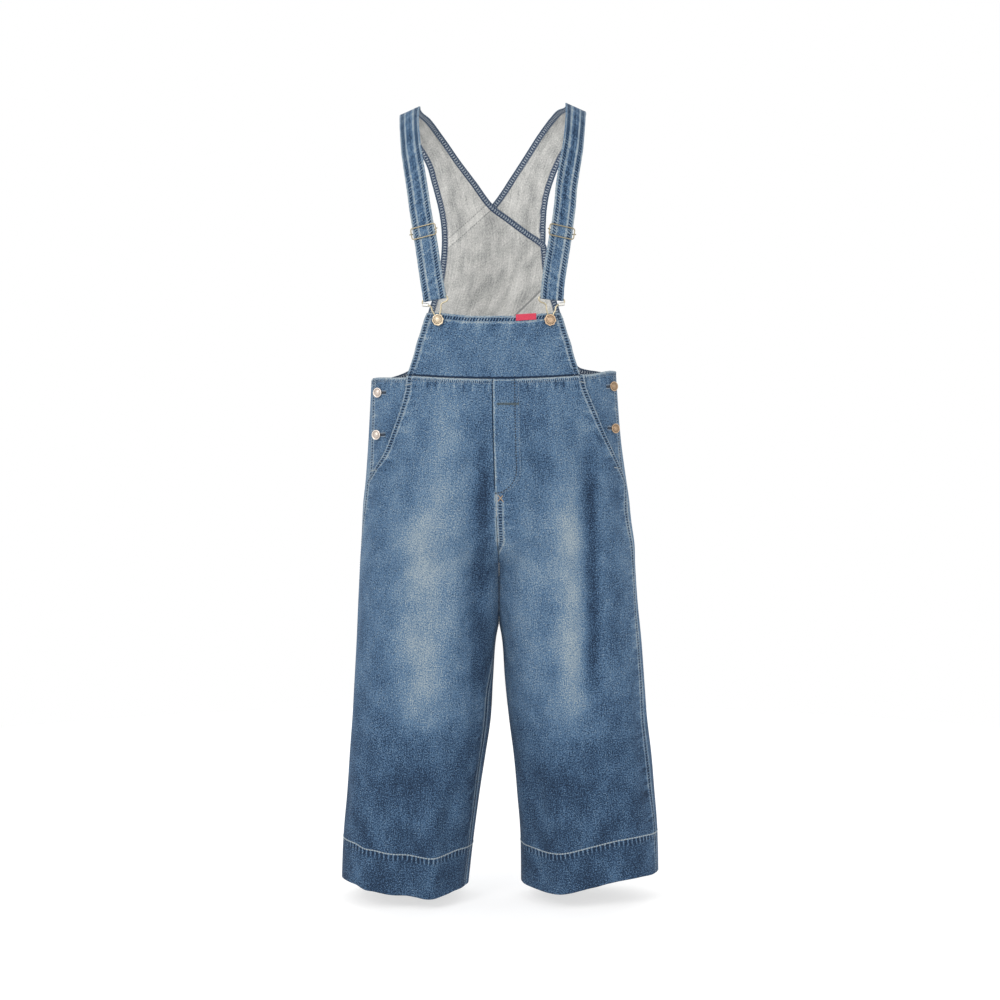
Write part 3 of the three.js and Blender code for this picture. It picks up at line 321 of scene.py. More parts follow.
SIDES = {
    "right": {
        "name": "right",
        "sign": -1,
        "rings": joined(TORSO, LEG_RIGHT),
        "seams": SEAMS_RIGHT,
        "shoulder": -7,
        "tilt": 9,
        "button": 90.2,
        "buttons": {"top": (-483, 24), "low": (-558, 24)},
    },
    "left": {
        "name": "left",
        "sign": 1,
        "rings": joined(TORSO, LEG_LEFT),
        "seams": SEAMS_LEFT,
        "shoulder": -3,
        "tilt": 5,
        "button": 91.2,
        "buttons": {"top": (-481, 20), "low": (-547, 23)},
    },
}


def column(rows, key, name, at):
    """A smooth curve through a table's rows, as in the solids."""
    keys, values = rows[key], rows[name]
    if keys[0] > keys[-1]:
        keys, values = keys[::-1], values[::-1]
    at = np.clip(np.asarray(at, float), keys[0], keys[-1])
    last = len(keys) - 1
    before = np.maximum(np.arange(last + 1) - 1, 0)
    after = np.minimum(np.arange(last + 1) + 1, last)
    slope = (values[after] - values[before]) / (keys[after] - keys[before])
    i = np.clip(np.searchsorted(keys, at, side="right") - 1, 0, last - 1)
    span = keys[i + 1] - keys[i]
    t = (at - keys[i]) / span
    t2, t3 = t * t, t * t * t
    return (
        (2 * t3 - 3 * t2 + 1) * values[i]
        + (t3 - 2 * t2 + t) * span * slope[i]
        + (3 * t2 - 2 * t3) * values[i + 1]
        + (t3 - t2) * span * slope[i + 1]
    )


def smooth(t):
    c = np.clip(t, 0, 1)
    return c * c * (3 - 2 * c)


def mix(a, b, t):
    return a + (b - a) * t


def unit(v):
    return v / np.maximum(np.linalg.norm(v, axis=-1, keepdims=True), 1e-12)


def ring_at(side, z):
    get = lambda name: column(side["rings"], "z", name, z)
    outer, inner = get("outer"), get("inner")
    return {
        "mid": get("mid"),
        "centre": (outer + inner) / 2,
        "half": (outer - inner) / 2,
        "front": -get("front"),
        "back": get("back"),
        "square": get("square"),
    }


def signed_power(value, power):
    return np.sign(value) * np.abs(value) ** power


def oval(ring, angle):
    """Points and normals of the oval at angles from the outermost point towards the front."""
    power, steep = 2 / ring["square"], ring["square"] - 1
    depth = np.where(np.sin(angle) >= 0, ring["front"], ring["back"])
    across = signed_power(np.cos(angle), power)
    along = signed_power(np.sin(angle), power)
    normal = unit(
        np.stack([signed_power(across, steep) / ring["half"], -signed_power(along, steep) / depth], -1)
    )
    dist = ring["centre"] + ring["half"] * across
    flat = dist < MEDIAN_GAP
    normal[flat] = (-1, 0)
    return np.where(flat, MEDIAN_GAP, dist), -depth * along, normal, flat


RISE_TOP = {"front": -700, "back": -672}


def rise_end(side, face, z, seam_y):
    """The crotch seam's depth in the median plane at a height, or None above it."""
    top = RISE_TOP[face]
    if z >= top:
        return None
    ring = ring_at(side, top)
    share = abs(ring["centre"] / ring["half"]) ** ring["square"]
    depth = (1 - share) ** (1 / ring["square"])
    start = -ring["front"] * depth if face == "front" else ring["back"] * depth
    t = (z - CROTCH) / (top - CROTCH)
    return mix(seam_y, start, math.sqrt(1 - (1 - t) ** 2))


OVAL_STEPS = 600
INNER_ANGLE = 150
INNER_LEAST = 14


def outline(side, face, z, reach=0):
    """A leg panel's line at a height, from the side seam to the inner seam."""
    ring = ring_at(side, z)
    to_front = 1 if face == "front" else -1
    start = math.radians(column(side["seams"], "z", "side", z) + reach)
    inseam = math.radians(column(side["seams"], "z", "inseam", z))
    angle = np.linspace(start, to_front * math.pi - inseam, OVAL_STEPS + 1)
    dist, y, normal, flat = oval(ring, angle)
    if z > CROTCH:
        stop = rise_end(side, face, z, y[-1])
        past = flat if stop is None else flat & (to_front * (y - stop) > 0)
        if past.any():
            last = max(int(np.argmax(past)), 1)
            if flat[last - 1]:
                last -= 1
            else:
                normal[last] = normal[last - 1]
            angle, dist, y, normal, flat = (v[: last + 1] for v in (angle, dist, y, normal, flat))
    length = np.concatenate([[0], np.cumsum(np.hypot(np.diff(dist), np.diff(y)))])
    inner = flat | (np.abs(angle) > math.radians(INNER_ANGLE))
    turn = length[int(np.argmax(inner))] if inner.any() else length[-1]
    return {
        "mid": ring["mid"],
        "line": {"dist": dist, "y": y, "nx": normal[:, 0], "ny": normal[:, 1], "flat": flat * 1.0},
        "length": length,
        "total": length[-1],
        "turn": min(turn, length[-1] - INNER_LEAST),
    }


POCKET_END = 14  # below its foot the pocket edge runs into the side seam


def pocket_start(side, path, z):
    """Arc length from the side seam to the front's pocket edge."""
    if z <= POCKET_FOOT - POCKET_END:
        return 0.0
    edge = column(POCKET[side["name"]], "z", "dist", z)
    dist = path["line"]["dist"]
    k = int(np.argmax((dist < edge) & (path["line"]["y"] < 0)))
    if k == 0:
        return 0.0
    t = np.clip((dist[k - 1] - edge) / max(dist[k - 1] - dist[k], 1e-9), 0, 1)
    share = min(1, 1 + (z - POCKET_FOOT) / POCKET_END)
    return float(mix(path["length"][k - 1], path["length"][k], t) * share)


def waist_z(dist):
    return WAIST_SAG["low"] + WAIST_SAG["rise"] * (np.abs(dist) / WAIST_SAG["at"]) ** 2


def fold_depth(side, face, dist, z):
    """How far the main folds stand out of the oval."""
    folds = FOLDS[side["name"], face]
    out = np.zeros_like(dist)
    for k, (top, bottom) in enumerate(zip(folds["top"], folds["bottom"])):
        if bottom <= z <= top:
            t = (top - z) / (top - bottom)
            off = (dist - mix(folds["from"][k], folds["to"][k], t)) / folds["wide"][k]
            out += folds["out"][k] * math.sin(math.pi * t) ** 0.7 * np.exp(-off * off)
    return out


def waist_lift(name, face, dist, z):
    """How far the waist edge is lifted towards the side, as in the solids."""
    lift = WAIST_LIFT[name]
    below = (z - LIFT_FADE["below"]) / LIFT_FADE["foot"]
    above = (LIFT_FADE["above"] - z) / LIFT_FADE["top"]
    fade = smooth(np.where(z < SIDE_TOP, below, above))
    if face == "back":
        return lift["side"] * smooth((dist - LIFT_BACK["start"]) / LIFT_BACK["over"]) * fade
    out = mix(lift["pocket"], lift["side"], smooth((dist - LIFT_FRONT["pocket"]) / LIFT_FRONT["side"]))
    return out * smooth((dist - LIFT_FRONT["start"]) / LIFT_FRONT["over"]) * fade


def leg_row(side, face, path, level, arcs, depth=0.0, waist=0.0):
    """Points and normals of a leg panel's row at arc lengths, sunk by a depth."""
    line = {name: np.interp(arcs, path["length"], v) for name, v in path["line"].items()}
    dist = line["dist"] - line["nx"] * depth
    y = line["y"] - line["ny"] * depth
    outward = -1 if face == "front" else 1
    fold = outward * fold_depth(side, face, line["dist"], level) * smooth(np.abs(line["ny"]) * 1.6)
    y = y + np.where(line["flat"] > 0.5, 0, fold)
    lift = column(HEM_LIFT[side["name"]], "dist", "lift", dist) * smooth((-1000 - level) / 230)
    lift = lift + waist_lift(side["name"], face, dist, level)
    z = mix(level + lift, level + waist_z(dist) - SEAM_GAP / 2 - WAIST, waist)
    points = np.stack([path["mid"] + side["sign"] * dist, y, z], -1)
    normals = np.stack([side["sign"] * line["nx"], line["ny"], 0 * y], -1)
    return points, normals


# Fine grids: even places, with closer ones by an edge, so that edges and seams can roll
EDGE_STEPS = np.array([0, 0.8, 2.0, 4.2])


def places(start, end, count, near="both"):
    span = end - start
    close = EDGE_STEPS * np.sign(span) * min(1, abs(span) / 14)
    first = start + (close if near in ("both", "start") else close[:1])
    last = end - (close[::-1] if near in ("both", "end") else close[:1])
    return np.concatenate([first, np.linspace(first[-1], last[0], count)[1:-1], last])


def grid_of(rows, face):
    """A grid from rows of points and normals."""
    return {
        "points": np.array([points for points, _ in rows]),
        "normals": np.array([normals for _, normals in rows]),
        "face": face,
    }


LEG_STEP = 3.7
LEG_COLUMNS = {"face": 72, "inner": 20}


def leg_grid(side, face):
    top = WAIST if face == "front" else SIDE_TOP
    body = places(top, HEM_TOP, int((top - HEM_TOP) / LEG_STEP))
    levels = np.concatenate([body, places(HEM_TOP, HEM, int(HEM_HEIGHT / LEG_STEP))[1:]])
    rows, starts = [], []
    for level in levels:
        on_stand = smooth((level - OPENING_FOOT) / STAND["fade"]) if face == "back" else 0
        deep = smooth((level - OPENING_FOOT + STAND["foot"]) / STAND["foot"]) if face == "back" else 0
        path = outline(side, face, level, STAND["reach"] * on_stand)
        start = (pocket_start(side, path, level) if face == "front" else 0) + SEAM_GAP / 2
        outer = places(start, path["turn"], LEG_COLUMNS["face"], "start")
        inner = places(path["turn"], path["total"] - SEAM_GAP / 2, LEG_COLUMNS["inner"], "end")
        arcs = np.concatenate([outer, inner[1:]])
        depth = STAND["sunk"] * deep * (1 - smooth((arcs - 20 * on_stand) / STAND["spread"]))
        waist = smooth((level + 483) / 17) if face == "front" else 0
        rows.append(leg_row(side, face, path, level, arcs, depth, waist))
        starts.append(start)
    grid = grid_of(rows, face)
    grid["starts"] = np.array(starts)[:, None]
    grid["hem"] = HEM_TOP - np.repeat(levels[:, None], len(arcs), 1)
    return grid


def facing_grid(side):
    rows = []
    for level in places(SIDE_TOP, FACING_FOOT - 22, 68):
        path = outline(side, "front", level)
        foot = smooth((SIDE_TOP - 90 - level) / 60)
        end = pocket_start(side, path, level) + POCKET_LAP
        arcs = places(SEAM_GAP / 2 + SEAM_GAP * foot, end, 26)
        rows.append(leg_row(side, "front", path, level, arcs, FACING_SUNK + 1.2 * foot))
    return grid_of(rows, "front")


def fly_grid():
    side, rows = SIDES["left"], []
    for level in places(WAIST, FLY["foot"], 70):
        path = outline(side, "front", level)
        roundness = np.clip((level - FLY["foot"]) / FLY["curve"], 0, 1)
        width = 5 + (FLY["width"] - 5) * math.sqrt(1 - (1 - roundness) ** 2)
        arcs = places(path["total"] - width, path["total"] - SEAM_GAP / 2, 14)
        waist = smooth((level + 483) / 17)
        points, normals = leg_row(side, "front", path, level, arcs, 0, waist)
        points[-1, 0] = path["mid"] - FLY["over"]
        rows.append((points, normals))
    return grid_of(rows, "front")


def depth_at(side, face, dist, z):
    """Depth of the body's front or back above the waist."""
    ring = ring_at(side, np.maximum(z, SIDE_TOP - 10))
    share = np.clip(np.abs(dist) / ring["half"], 0, 0.999)
    depth = (1 - share ** ring["square"]) ** (1 / ring["square"])
    return -ring["front"] * depth if face == "front" else ring["back"] * depth


def back_point(side, dist, z):
    """A point of the high back, which rounds over to the shoulder line."""
    top = (SHOULDER["dist"] - dist) * SHOULDER["slope"] + side["shoulder"]
    t = np.clip((top - z) / SHOULDER["backFall"], 0, 1)
    y = depth_at(side, "back", dist, z) * np.sqrt(1 - (1 - t) ** 2)
    return np.stack([MID_TOP + side["sign"] * dist, y, z], -1)


def front_point(side, dist, z):
    dist, z = np.broadcast_arrays(np.asarray(dist, float), np.asarray(z, float))
    return np.stack([MID_TOP + side["sign"] * dist, depth_at(side, "front", dist, z), z], -1)


def with_normals(points, face):
    """A grid of these points, with normals that face away from the body's middle."""
    normal = unit(np.cross(np.gradient(points, axis=0), np.gradient(points, axis=1)))
    middle = np.stack([0 * points[..., 0] + MID_TOP, 0 * points[..., 1], points[..., 2] - 60], -1)
    inward = (normal * (points - middle)).sum(-1, keepdims=True) < 0
    return {"points": points, "normals": np.where(inward, -normal, normal), "face": face}


def bib_grid():
    up = places(0, 100, 40)[:, None] / 100
    across = places(-100, 100, 84)[None, :] / 100
    dist = across * column(BIB_SIDE, "z", "dist", mix(WAIST, BIB_TOP, up))
    top = BIB_TOP + 2 - BIB_DIP * (1 - smooth((np.abs(dist) - 30) / 75))
    z = mix(waist_z(dist) + SEAM_GAP / 2, top, up)
    return with_normals(front_point(SIDES["left"], dist, z), "front")


BACK_FOOT = SIDE_TOP + 3 * SEAM_GAP
BODY_LEVELS = [-228, -252, -290, -330, -368, -400, -425, -438, -444, -450, BACK_FOOT]
TOP_RUNS = [0, 0.02, 0.1, 0.3, 0.6, 1.0, 1.6, 2.4]  # close rows where the back rounds over


def edges_table(side, body_rows):
    """The two edges of the back, from the strap seam down: the wing's, then the body's."""
    wing = WINGS[side["name"]]
    levels, dists = np.array(body_rows, float).T
    columns = [
        np.concatenate([wing["arm"], dists]),
        np.concatenate([wing["armZ"], levels]),
        np.concatenate([wing["neck"], -dists]),
        np.concatenate([wing["neckZ"], levels]),
    ]
    centre = np.stack([(columns[0] + columns[2]) / 2, (columns[1] + columns[3]) / 2], -1)
    run = np.concatenate([[0], np.cumsum(np.linalg.norm(np.diff(centre, axis=0), axis=1))])
    return dict(zip(("run", "arm", "armZ", "neck", "neckZ"), [run, *columns]))


def back_grid(side, body_rows, columns, step):
    edges = edges_table(side, body_rows)
    end = edges["run"][-1]
    lower = places(TOP_RUNS[-1] + step / 2, end, int(end / step), near="end")
    run = np.concatenate([TOP_RUNS, lower])[:, None]
    t = places(0, 100, columns)[None, :] / 100
    get = lambda name: column(edges, "run", name, run)
    return with_normals(
        back_point(side, mix(get("arm"), get("neck"), t), mix(get("armZ"), get("neckZ"), t)), "back"
    )


def back_bib_grid():
    body = [(z, float(column(ARMHOLE, "z", "dist", z))) for z in BODY_LEVELS]
    grid = back_grid(SIDES["right"], body, 96, 3.2)
    points = grid["points"]
    dist, z = MID_TOP - points[..., 0], np.maximum(points[..., 2], SIDE_TOP)
    lifts = [waist_lift(name, "back", np.abs(dist), z) for name in ("right", "left")]
    points[..., 2] += np.where(dist > 0, *lifts)
    return grid


def back_wing_grid():
    grid = back_grid(SIDES["left"], [(WING_FOOT, 89)], 46, 3.2)
    over = smooth((WING_LIFT["from"] - grid["points"][..., 2:]) / WING_LIFT["over"])
    off = (CLOTH + WING_LIFT["gap"]) * over
    grid["points"] = grid["points"] + grid["normals"] * off
    return grid


# Straps, from the clip's bar over the shoulder to the seam
def shoulder_point(side, dist, turn):
    top = (SHOULDER["dist"] - dist) * SHOULDER["slope"] + side["shoulder"]
    angle = np.radians(np.minimum(turn, 90))
    z = top - SHOULDER["chestFall"] * (1 - np.cos(angle)) - np.maximum(0, turn - 90)
    y = depth_at(side, "front", dist, z) * np.sin(angle)
    return np.stack([MID_TOP + side["sign"] * dist, y, z], -1)


def clip_frame(side):
    """Where a button stands on the bib, with the clip's axes."""
    dist, z = side["button"], BIB_BUTTON["z"]
    origin = front_point(side, dist, z)
    out = unit(np.cross(front_point(side, dist + 1, z) - origin, front_point(side, dist, z + 1) - origin))
    out = -out if out[1] > 0 else out
    tilt = math.radians(side["tilt"])
    across = np.array([side["sign"] * math.cos(tilt), 0, -math.sin(tilt)])
    across = unit(across - out * across.dot(out))
    up = np.cross(across, out)
    return {"point": origin, "across": across, "up": up if up[2] > 0 else -up, "out": out}


def strap_line(side):
    """The strap's middle line from the clip's bar upward, with its axes."""
    clip = clip_frame(side)
    foot = clip["point"] + clip["up"] * CLIP_BAR
    foot_dist = side["sign"] * (foot[0] - MID_TOP)
    rise = (SHOULDER["dist"] - foot_dist) * SHOULDER["slope"] + side["shoulder"]
    foot_turn = 90 + rise - SHOULDER["chestFall"] - foot[2]
    lean = math.tan(math.radians(side["tilt"]))
    rows = STRAPS[side["name"]]
    blend = STRAP_OFF["blend"]
    path = {
        "turn": np.concatenate([rows["turn"], [foot_turn - blend, foot_turn]]),
        "dist": np.concatenate([rows["dist"], [foot_dist + blend * lean, foot_dist]]),
    }
    turn = np.linspace(foot_turn, STRAP_START, 241)
    dist = column(path, "turn", "dist", turn)
    point = shoulder_point(side, dist, turn)
    length = np.concatenate([[0], np.cumsum(np.linalg.norm(np.diff(point, axis=0), axis=1))])
    up = unit(np.gradient(point, axis=0))
    level = unit(shoulder_point(side, dist + 1, turn) - point)
    across = unit(level - up * ((level * up).sum(-1) * smooth(turn / STRAP_SQUARE))[:, None])
    out = unit(np.cross(up, across) * -side["sign"])
    on_bar = 1 - smooth(length / blend)[:, None]
    bar = clip["point"] + clip["up"] * (CLIP_BAR + length)[:, None]
    return {
        "length": length,
        "point": mix(point, bar, on_bar),
        "up": mix(up, clip["up"], on_bar),
        "across": mix(across, clip["across"], on_bar),
        "out": mix(out, clip["out"], on_bar),
    }


def strap_at(line, length):
    get = lambda name: np.stack([np.interp(length, line["length"], line[name][:, k]) for k in range(3)], -1)
    return {name: get(name) for name in ("point", "up", "across", "out")}


def slider_length(line):
    return float(line["length"][int(np.argmax(line["point"][:, 2] > SLIDER["z"]))])


def strap_off(line, up):
    """How far the outer layer's middle lies off the chest."""
    at_bar = smooth(up / STRAP_OFF["ease"])
    seat = smooth((line["length"][-1] - up) / STRAP_OFF["seat"])
    hump = STRAP_OFF["bulge"] * np.exp(-(((up - slider_length(line)) / STRAP_OFF["spread"]) ** 2))
    lift = STRAP_OFF["mid"] + STRAP_OFF["bend"] * (1 - at_bar) + STRAP_OFF["half"] * at_bar
    return mix(STRAP_OFF["seam"], lift, seat) + hump


def strap_grid(side):
    """Down the outer layer, round the clip's bar and up the inner layer to the slider."""
    line = strap_line(side)
    mid, bend = STRAP_OFF["mid"], STRAP_OFF["bend"]
    down = places(line["length"][-1] - SEAM_GAP, 0, 190, "start")
    turn = np.radians(np.linspace(0, 180, 14)[1:-1])
    rise = places(0, slider_length(line) - 3, 50, "end")
    at_bar = smooth(rise / STRAP_OFF["ease"])
    inner = mid - bend * (1 - at_bar) - STRAP_OFF["half"] * at_bar
    up = np.concatenate([down, -bend * np.sin(turn), rise])
    off = np.concatenate([strap_off(line, down), mid + bend * np.cos(turn), inner])
    lean_up = np.concatenate([0 * down, -np.sin(turn), 0 * rise])[:, None]
    lean_out = np.concatenate([1 + 0 * down, np.cos(turn), -1 + 0 * rise])[:, None]
    at = strap_at(line, np.maximum(0, up))
    centre = at["point"] + at["up"] * np.minimum(0, up)[:, None] + at["out"] * off[:, None]
    normal = unit(at["up"] * lean_up + at["out"] * lean_out)
    across = places(-STRAP_WIDTH / 2, STRAP_WIDTH / 2, 14)
    points = centre[:, None] + at["across"][:, None] * across[None, :, None]
    normals = np.repeat(normal[:, None], len(across), 1)
    points = points + normals * STRAP_CLOTH / 2
    return {"points": points, "normals": normals, "face": "strap"}


def tab_grid():
    up = np.linspace(-TAB["height"] / 2, TAB["height"] / 2, 14)[:, None]
    dist = np.linspace(TAB["from"], TAB["to"], 40)[None, :]
    z = TAB["z"] + up + TAB["tilt"] * (dist - TAB["from"])
    return with_normals(front_point(SIDES["left"], dist + 0 * up, z), "front")


# Relief that all cloth shares by its place, so that layers that lie together move together.
# Creases run from one point to the other; depth is negative for a trough, bow bends the line.
CREASE_COLUMNS = "x z toX toZ depth wide bow"
CREASES = {
    "front": table(
        CREASE_COLUMNS,
        (-14, -640, -70, -600, -2.6, 9, 6),
        (-10, -690, -95, -668, -2.8, 10, 8),
        (-16, -735, -110, -745, -2.4, 12, 6),
        (8, -650, 60, -606, -2.4, 9, -6),
        (6, -700, 88, -672, -2.8, 10, -8),
        (14, -742, 104, -752, -2.2, 12, -6),
        (-60, -475, -74, -640, 1.8, 13, 4),
        (92, -480, 84, -640, 1.6, 12, -4),
        (-105, -480, -92, -560, -1.4, 10, 4),
        (50, -480, 58, -575, -1.4, 11, 3),
        (-150, -640, -205, -700, -2.0, 14, 8),
        (168, -640, 214, -705, -2.0, 14, -8),
        (-180, -900, -120, -940, -1.8, 16, 8),
        (190, -880, 130, -930, -1.8, 16, -8),
        (-70, -1010, -150, -1040, -1.6, 16, 6),
        (60, -1030, 130, -1060, -1.6, 16, -6),
        (-60, -1130, -96, -1220, -1.8, 12, 3),
        (66, -1120, 80, -1215, -1.8, 12, 3),
        (-60, -380, -66, -455, -0.7, 9, 2),
        (30, -384, 36, -456, -0.7, 10, -2),
    ),
    "back": table(
        CREASE_COLUMNS,
        (-14, -700, -95, -672, -3.0, 11, -8),
        (10, -704, 96, -676, -3.0, 11, 8),
        (-20, -760, -120, -742, -2.6, 12, -8),
        (18, -764, 120, -746, -2.6, 12, 8),
        (-90, -930, -200, -960, -2.2, 14, 8),
        (-110, -985, -205, -1000, -2.0, 14, 6),
        (90, -925, 200, -955, -2.2, 14, -8),
        (110, -980, 205, -1000, -2.0, 14, -6),
        (-60, -480, -70, -590, -1.4, 12, 4),
        (64, -480, 74, -596, -1.4, 12, -4),
        (-130, -470, -142, -570, 1.4, 13, 4),
        (120, -474, 130, -580, 1.4, 13, 4),
        (25, -258, 22, -330, -0.8, 7, 2),
        (-60, -300, -80, -430, -0.9, 12, 4),
        (70, -320, 84, -430, -0.9, 12, -4),
    ),
}
# How strong the fine ripples are at each height
RIPPLE = table(
    "z depth", (30, 0.1), (-200, 0.3), (-350, 0.35), (-380, 0.3), (-430, 0.6), (-600, 1.1), (-900, 1.7), (HEM, 1.8)
)
RIPPLE_SIZES = ((34, 34, 190), (15, 15, 70))


def ripple(points):
    """Soft upright ripples at points, about -1 to 1."""
    out = np.zeros(points.shape[:-1])
    for share, size in zip((0.75, 0.35), RIPPLE_SIZES):
        scaled = points.reshape(-1, 3) / np.array(size)
        out += share * np.array([noise.noise(Vector(p)) for p in scaled]).reshape(out.shape)
    return out * 1.6


def crease_depth(creases, x, z):
    out = np.zeros_like(x)
    for k in range(len(creases["x"])):
        row = {name: values[k] for name, values in creases.items()}
        along = np.array([row["toX"] - row["x"], row["toZ"] - row["z"]])
        size = np.linalg.norm(along)
        dx, dz = x - row["x"], z - row["z"]
        t = (dx * along[0] + dz * along[1]) / size**2
        off = (dx * along[1] - dz * along[0]) / size
        off = off - row["bow"] * np.sin(math.pi * np.clip(t, 0, 1))
        ends = smooth(t / 0.35) * smooth((1 - t) / 0.35)
        s = off / row["wide"]
        out += row["depth"] * ends * (1 - 0.7 * s * s) * np.exp(-s * s)
    return out


def add_relief(grid, share=1.0):
    """Moves a grid's points by the shared creases and ripples."""
    p, normal = grid["points"], grid["normals"]
    depth = column(RIPPLE, "z", "depth", p[..., 2]) * ripple(p)
    if grid["face"] in CREASES:
        depth += crease_depth(CREASES[grid["face"]], p[..., 0], p[..., 2])
    facing = smooth(np.abs(normal[..., 1]) * 2.5) * 0.8 + 0.2
    grid["points"] = p + normal * (depth * share * facing)[..., None]


# How faded the denim is, from 0 for dark to 1 for light. Streaks are soft upright bands.
# The pale streaks are real fading; several dark streaks are painted shade, in the troughs of the
# folds, along the pocket edges, beside the fly and on the wearer's left hip.
BASE_FADE = {
    "front": table(
        "z fade",
        (60, 0.36),
        (-440, 0.36),
        (-560, 0.40),
        (-700, 0.40),
        (-830, 0.34),
        (-900, 0.27),
        (-980, 0.20),
        (-1060, 0.11),
        (-1130, 0.02),
        (-1240, -0.01),
        (-1316, -0.04),
    ),
    "back": table(
        "z fade",
        (60, 0.50),
        (-440, 0.50),
        (-560, 0.52),
        (-640, 0.60),
        (-760, 0.50),
        (-860, 0.28),
        (-1000, 0.16),
        (-1080, 0.10),
        (-1316, 0.05),
    ),
}
STREAK_COLUMNS = "x toX top bottom wide fade strength"
STREAKS = {
    "front": table(
        STREAK_COLUMNS,
        (-116, -122, -560, -1110, 52, 0.74, 0.85),
        (-122, -130, -640, -1080, 28, 0.92, 0.85),
        (104, 110, -600, -1120, 50, 0.60, 0.8),
        (116, 121, -560, -1095, 19, 0.92, 0.95),
        (48, 54, -640, -1040, 22, 0.56, 0.7),
        (-82, -92, -450, -800, 22, 0.74, 0.75),
        (92, 88, -470, -640, 18, 0.58, 0.6),
        # painted shade in the troughs of the main folds
        (-22, -33, -450, -1070, 16, -0.12, 0.9),
        (150, 158, -520, -1050, 13, -0.20, 0.95),
        (186, 196, -560, -1000, 22, 0.22, 0.7),
        # painted shade on the wearer's left hip, which the key light reaches less, and in the fold's trough there
        (60, 64, -440, -700, 40, 0.16, 0.7),
        # painted shadows along the pocket edges
        (-164, -196, -500, -680, 13, 0.14, 0.8),
        (156, 196, -500, -690, 13, 0.14, 0.8),
        # painted shadow beside the fly's lap
        (-20, -22, -440, -560, 9, 0.08, 0.7),
        (-188, -206, -560, -1000, 20, 0.24, 0.7),
        (-142, -150, -455, -700, 14, 0.38, 0.6),
        # painted shade in a fold's trough by the crotch
        (26, 24, -640, -900, 12, 0.30, 0.6),
        (-150, -150, -1030, -1160, 34, -0.06, 0.6),
        (124, 124, -1040, -1200, 34, -0.06, 0.6),
    ),
    "back": table(
        STREAK_COLUMNS,
        (-100, -112, -520, -830, 52, 0.80, 0.8),
        (100, 112, -520, -830, 52, 0.78, 0.8),
        (-120, -124, -880, -1080, 44, 0.50, 0.6),
        (120, 124, -880, -1080, 44, 0.50, 0.6),
        # painted shade in the troughs of the back's folds
        (-58, -66, -720, -1100, 13, 0.05, 0.8),
        (58, 64, -720, -1100, 13, 0.05, 0.8),
    ),
}


def fade_and_shade_at(face, x, z):
    """How faded the cloth is at a place, with painted shade in some dark streaks."""
    face = face if face in STREAKS else "front"
    out = column(BASE_FADE[face], "z", "fade", z)
    streaks = STREAKS[face]
    for k in range(len(streaks["x"])):
        row = {name: values[k] for name, values in streaks.items()}
        t = (row["top"] - z) / (row["top"] - row["bottom"])
        off = (x - mix(row["x"], row["toX"], np.clip(t, 0, 1))) / row["wide"]
        weight = row["strength"] * smooth(t / 0.3) * smooth((1 - t) / 0.3) * np.exp(-off * off)
        out = mix(out, row["fade"], weight)
    return out


def lengths(points, axis):
    step = np.linalg.norm(np.diff(points, axis=axis), axis=2)
    pad = ((1, 0), (0, 0)) if axis == 0 else ((0, 0), (1, 0))
    return np.pad(np.cumsum(step, axis), pad)


FAR = 999.0  # a distance that no edge effect reaches


ALWAYS = (999, -9999)
PLAIN = [("plain", *ALWAYS)]
SEWN = [("sewn", *ALWAYS)]
# an edge in a valley: no pale roll, and a dark line of painted shade along it
VALLEY = [("valley", *ALWAYS)]
LINE_STEP = 1.5
OPEN_TOP = 999


def nearest(points, line):
    """Distance of a grid's points from a line, and the run along it at the nearest place."""
    run = lengths(line[:, None], 0)[:, 0]
    fine = np.linspace(0, run[-1], int(run[-1] / LINE_STEP))
    line = np.stack([np.interp(fine, run, line[:, k]) for k in range(3)], -1)
    distance, index = np.zeros(points.shape[:2]), np.zeros(points.shape[:2], int)
    for k, row in enumerate(points):
        gaps = np.linalg.norm(row[:, None] - line[None], axis=2)
        distance[k], index[k] = gaps.min(1), gaps.argmin(1)
    return distance, fine[index]


def edge_distances(grid, seams):
    """Distance to the nearest of some edges, the run along it, and what kind of edge it is.

    seams gives for each edge its kinds, each with the heights between which it holds."""
    points = grid["points"]
    down, across = lengths(points, 0), lengths(points, 1)
    choices = {
        "first": (across, down),
        "last": (across[:, -1:] - across, down),
        "top": (down, across),
        "bottom": (down[-1:] - down, across),
    }
    if grid.get("slanted"):
        choices["first"] = nearest(points, points[:, 0])
        choices["last"] = nearest(points, points[:, -1])
    out = {"near": np.full(down.shape, FAR), "run": 0 * down, "sewn": 0 * down, "valley": 0 * down}
    for seam, kinds in seams.items():
        distance, along = choices[seam]
        found = {"near": distance, "run": along, "sewn": 0 * down, "valley": 0 * down}
        for kind, top, bottom in kinds:
            inside = smooth((top - points[..., 2]) / 12) * smooth((points[..., 2] - bottom) / 12)
            found[kind] = found.get(kind, 0) + inside
        closer = distance < out["near"]
        out = {key: np.where(closer, found[key], value) for key, value in out.items()}
    return out


def perimeter(rows, cols):
    """Rows and columns of a grid's rim, all round, with the edge that each point is on."""
    top = [(0, j, "top") for j in range(cols)]
    last = [(i, cols - 1, "last") for i in range(1, rows)]
    bottom = [(rows - 1, j, "bottom") for j in range(cols - 2, -1, -1)]
    first = [(i, 0, "first") for i in range(rows - 2, 0, -1)]
    return top + last + bottom + first


EDGES = {edge: SEWN for edge in ("top", "bottom", "first", "last")}
VALUES = ("fade", "near", "run", "sewn", "valley", "hem", "piped", "ridge", "ridge_run",
          "lining", "striped", "turned")
SEWN_ROLL = 0.05  # how far a sewn edge bulges, in thicknesses


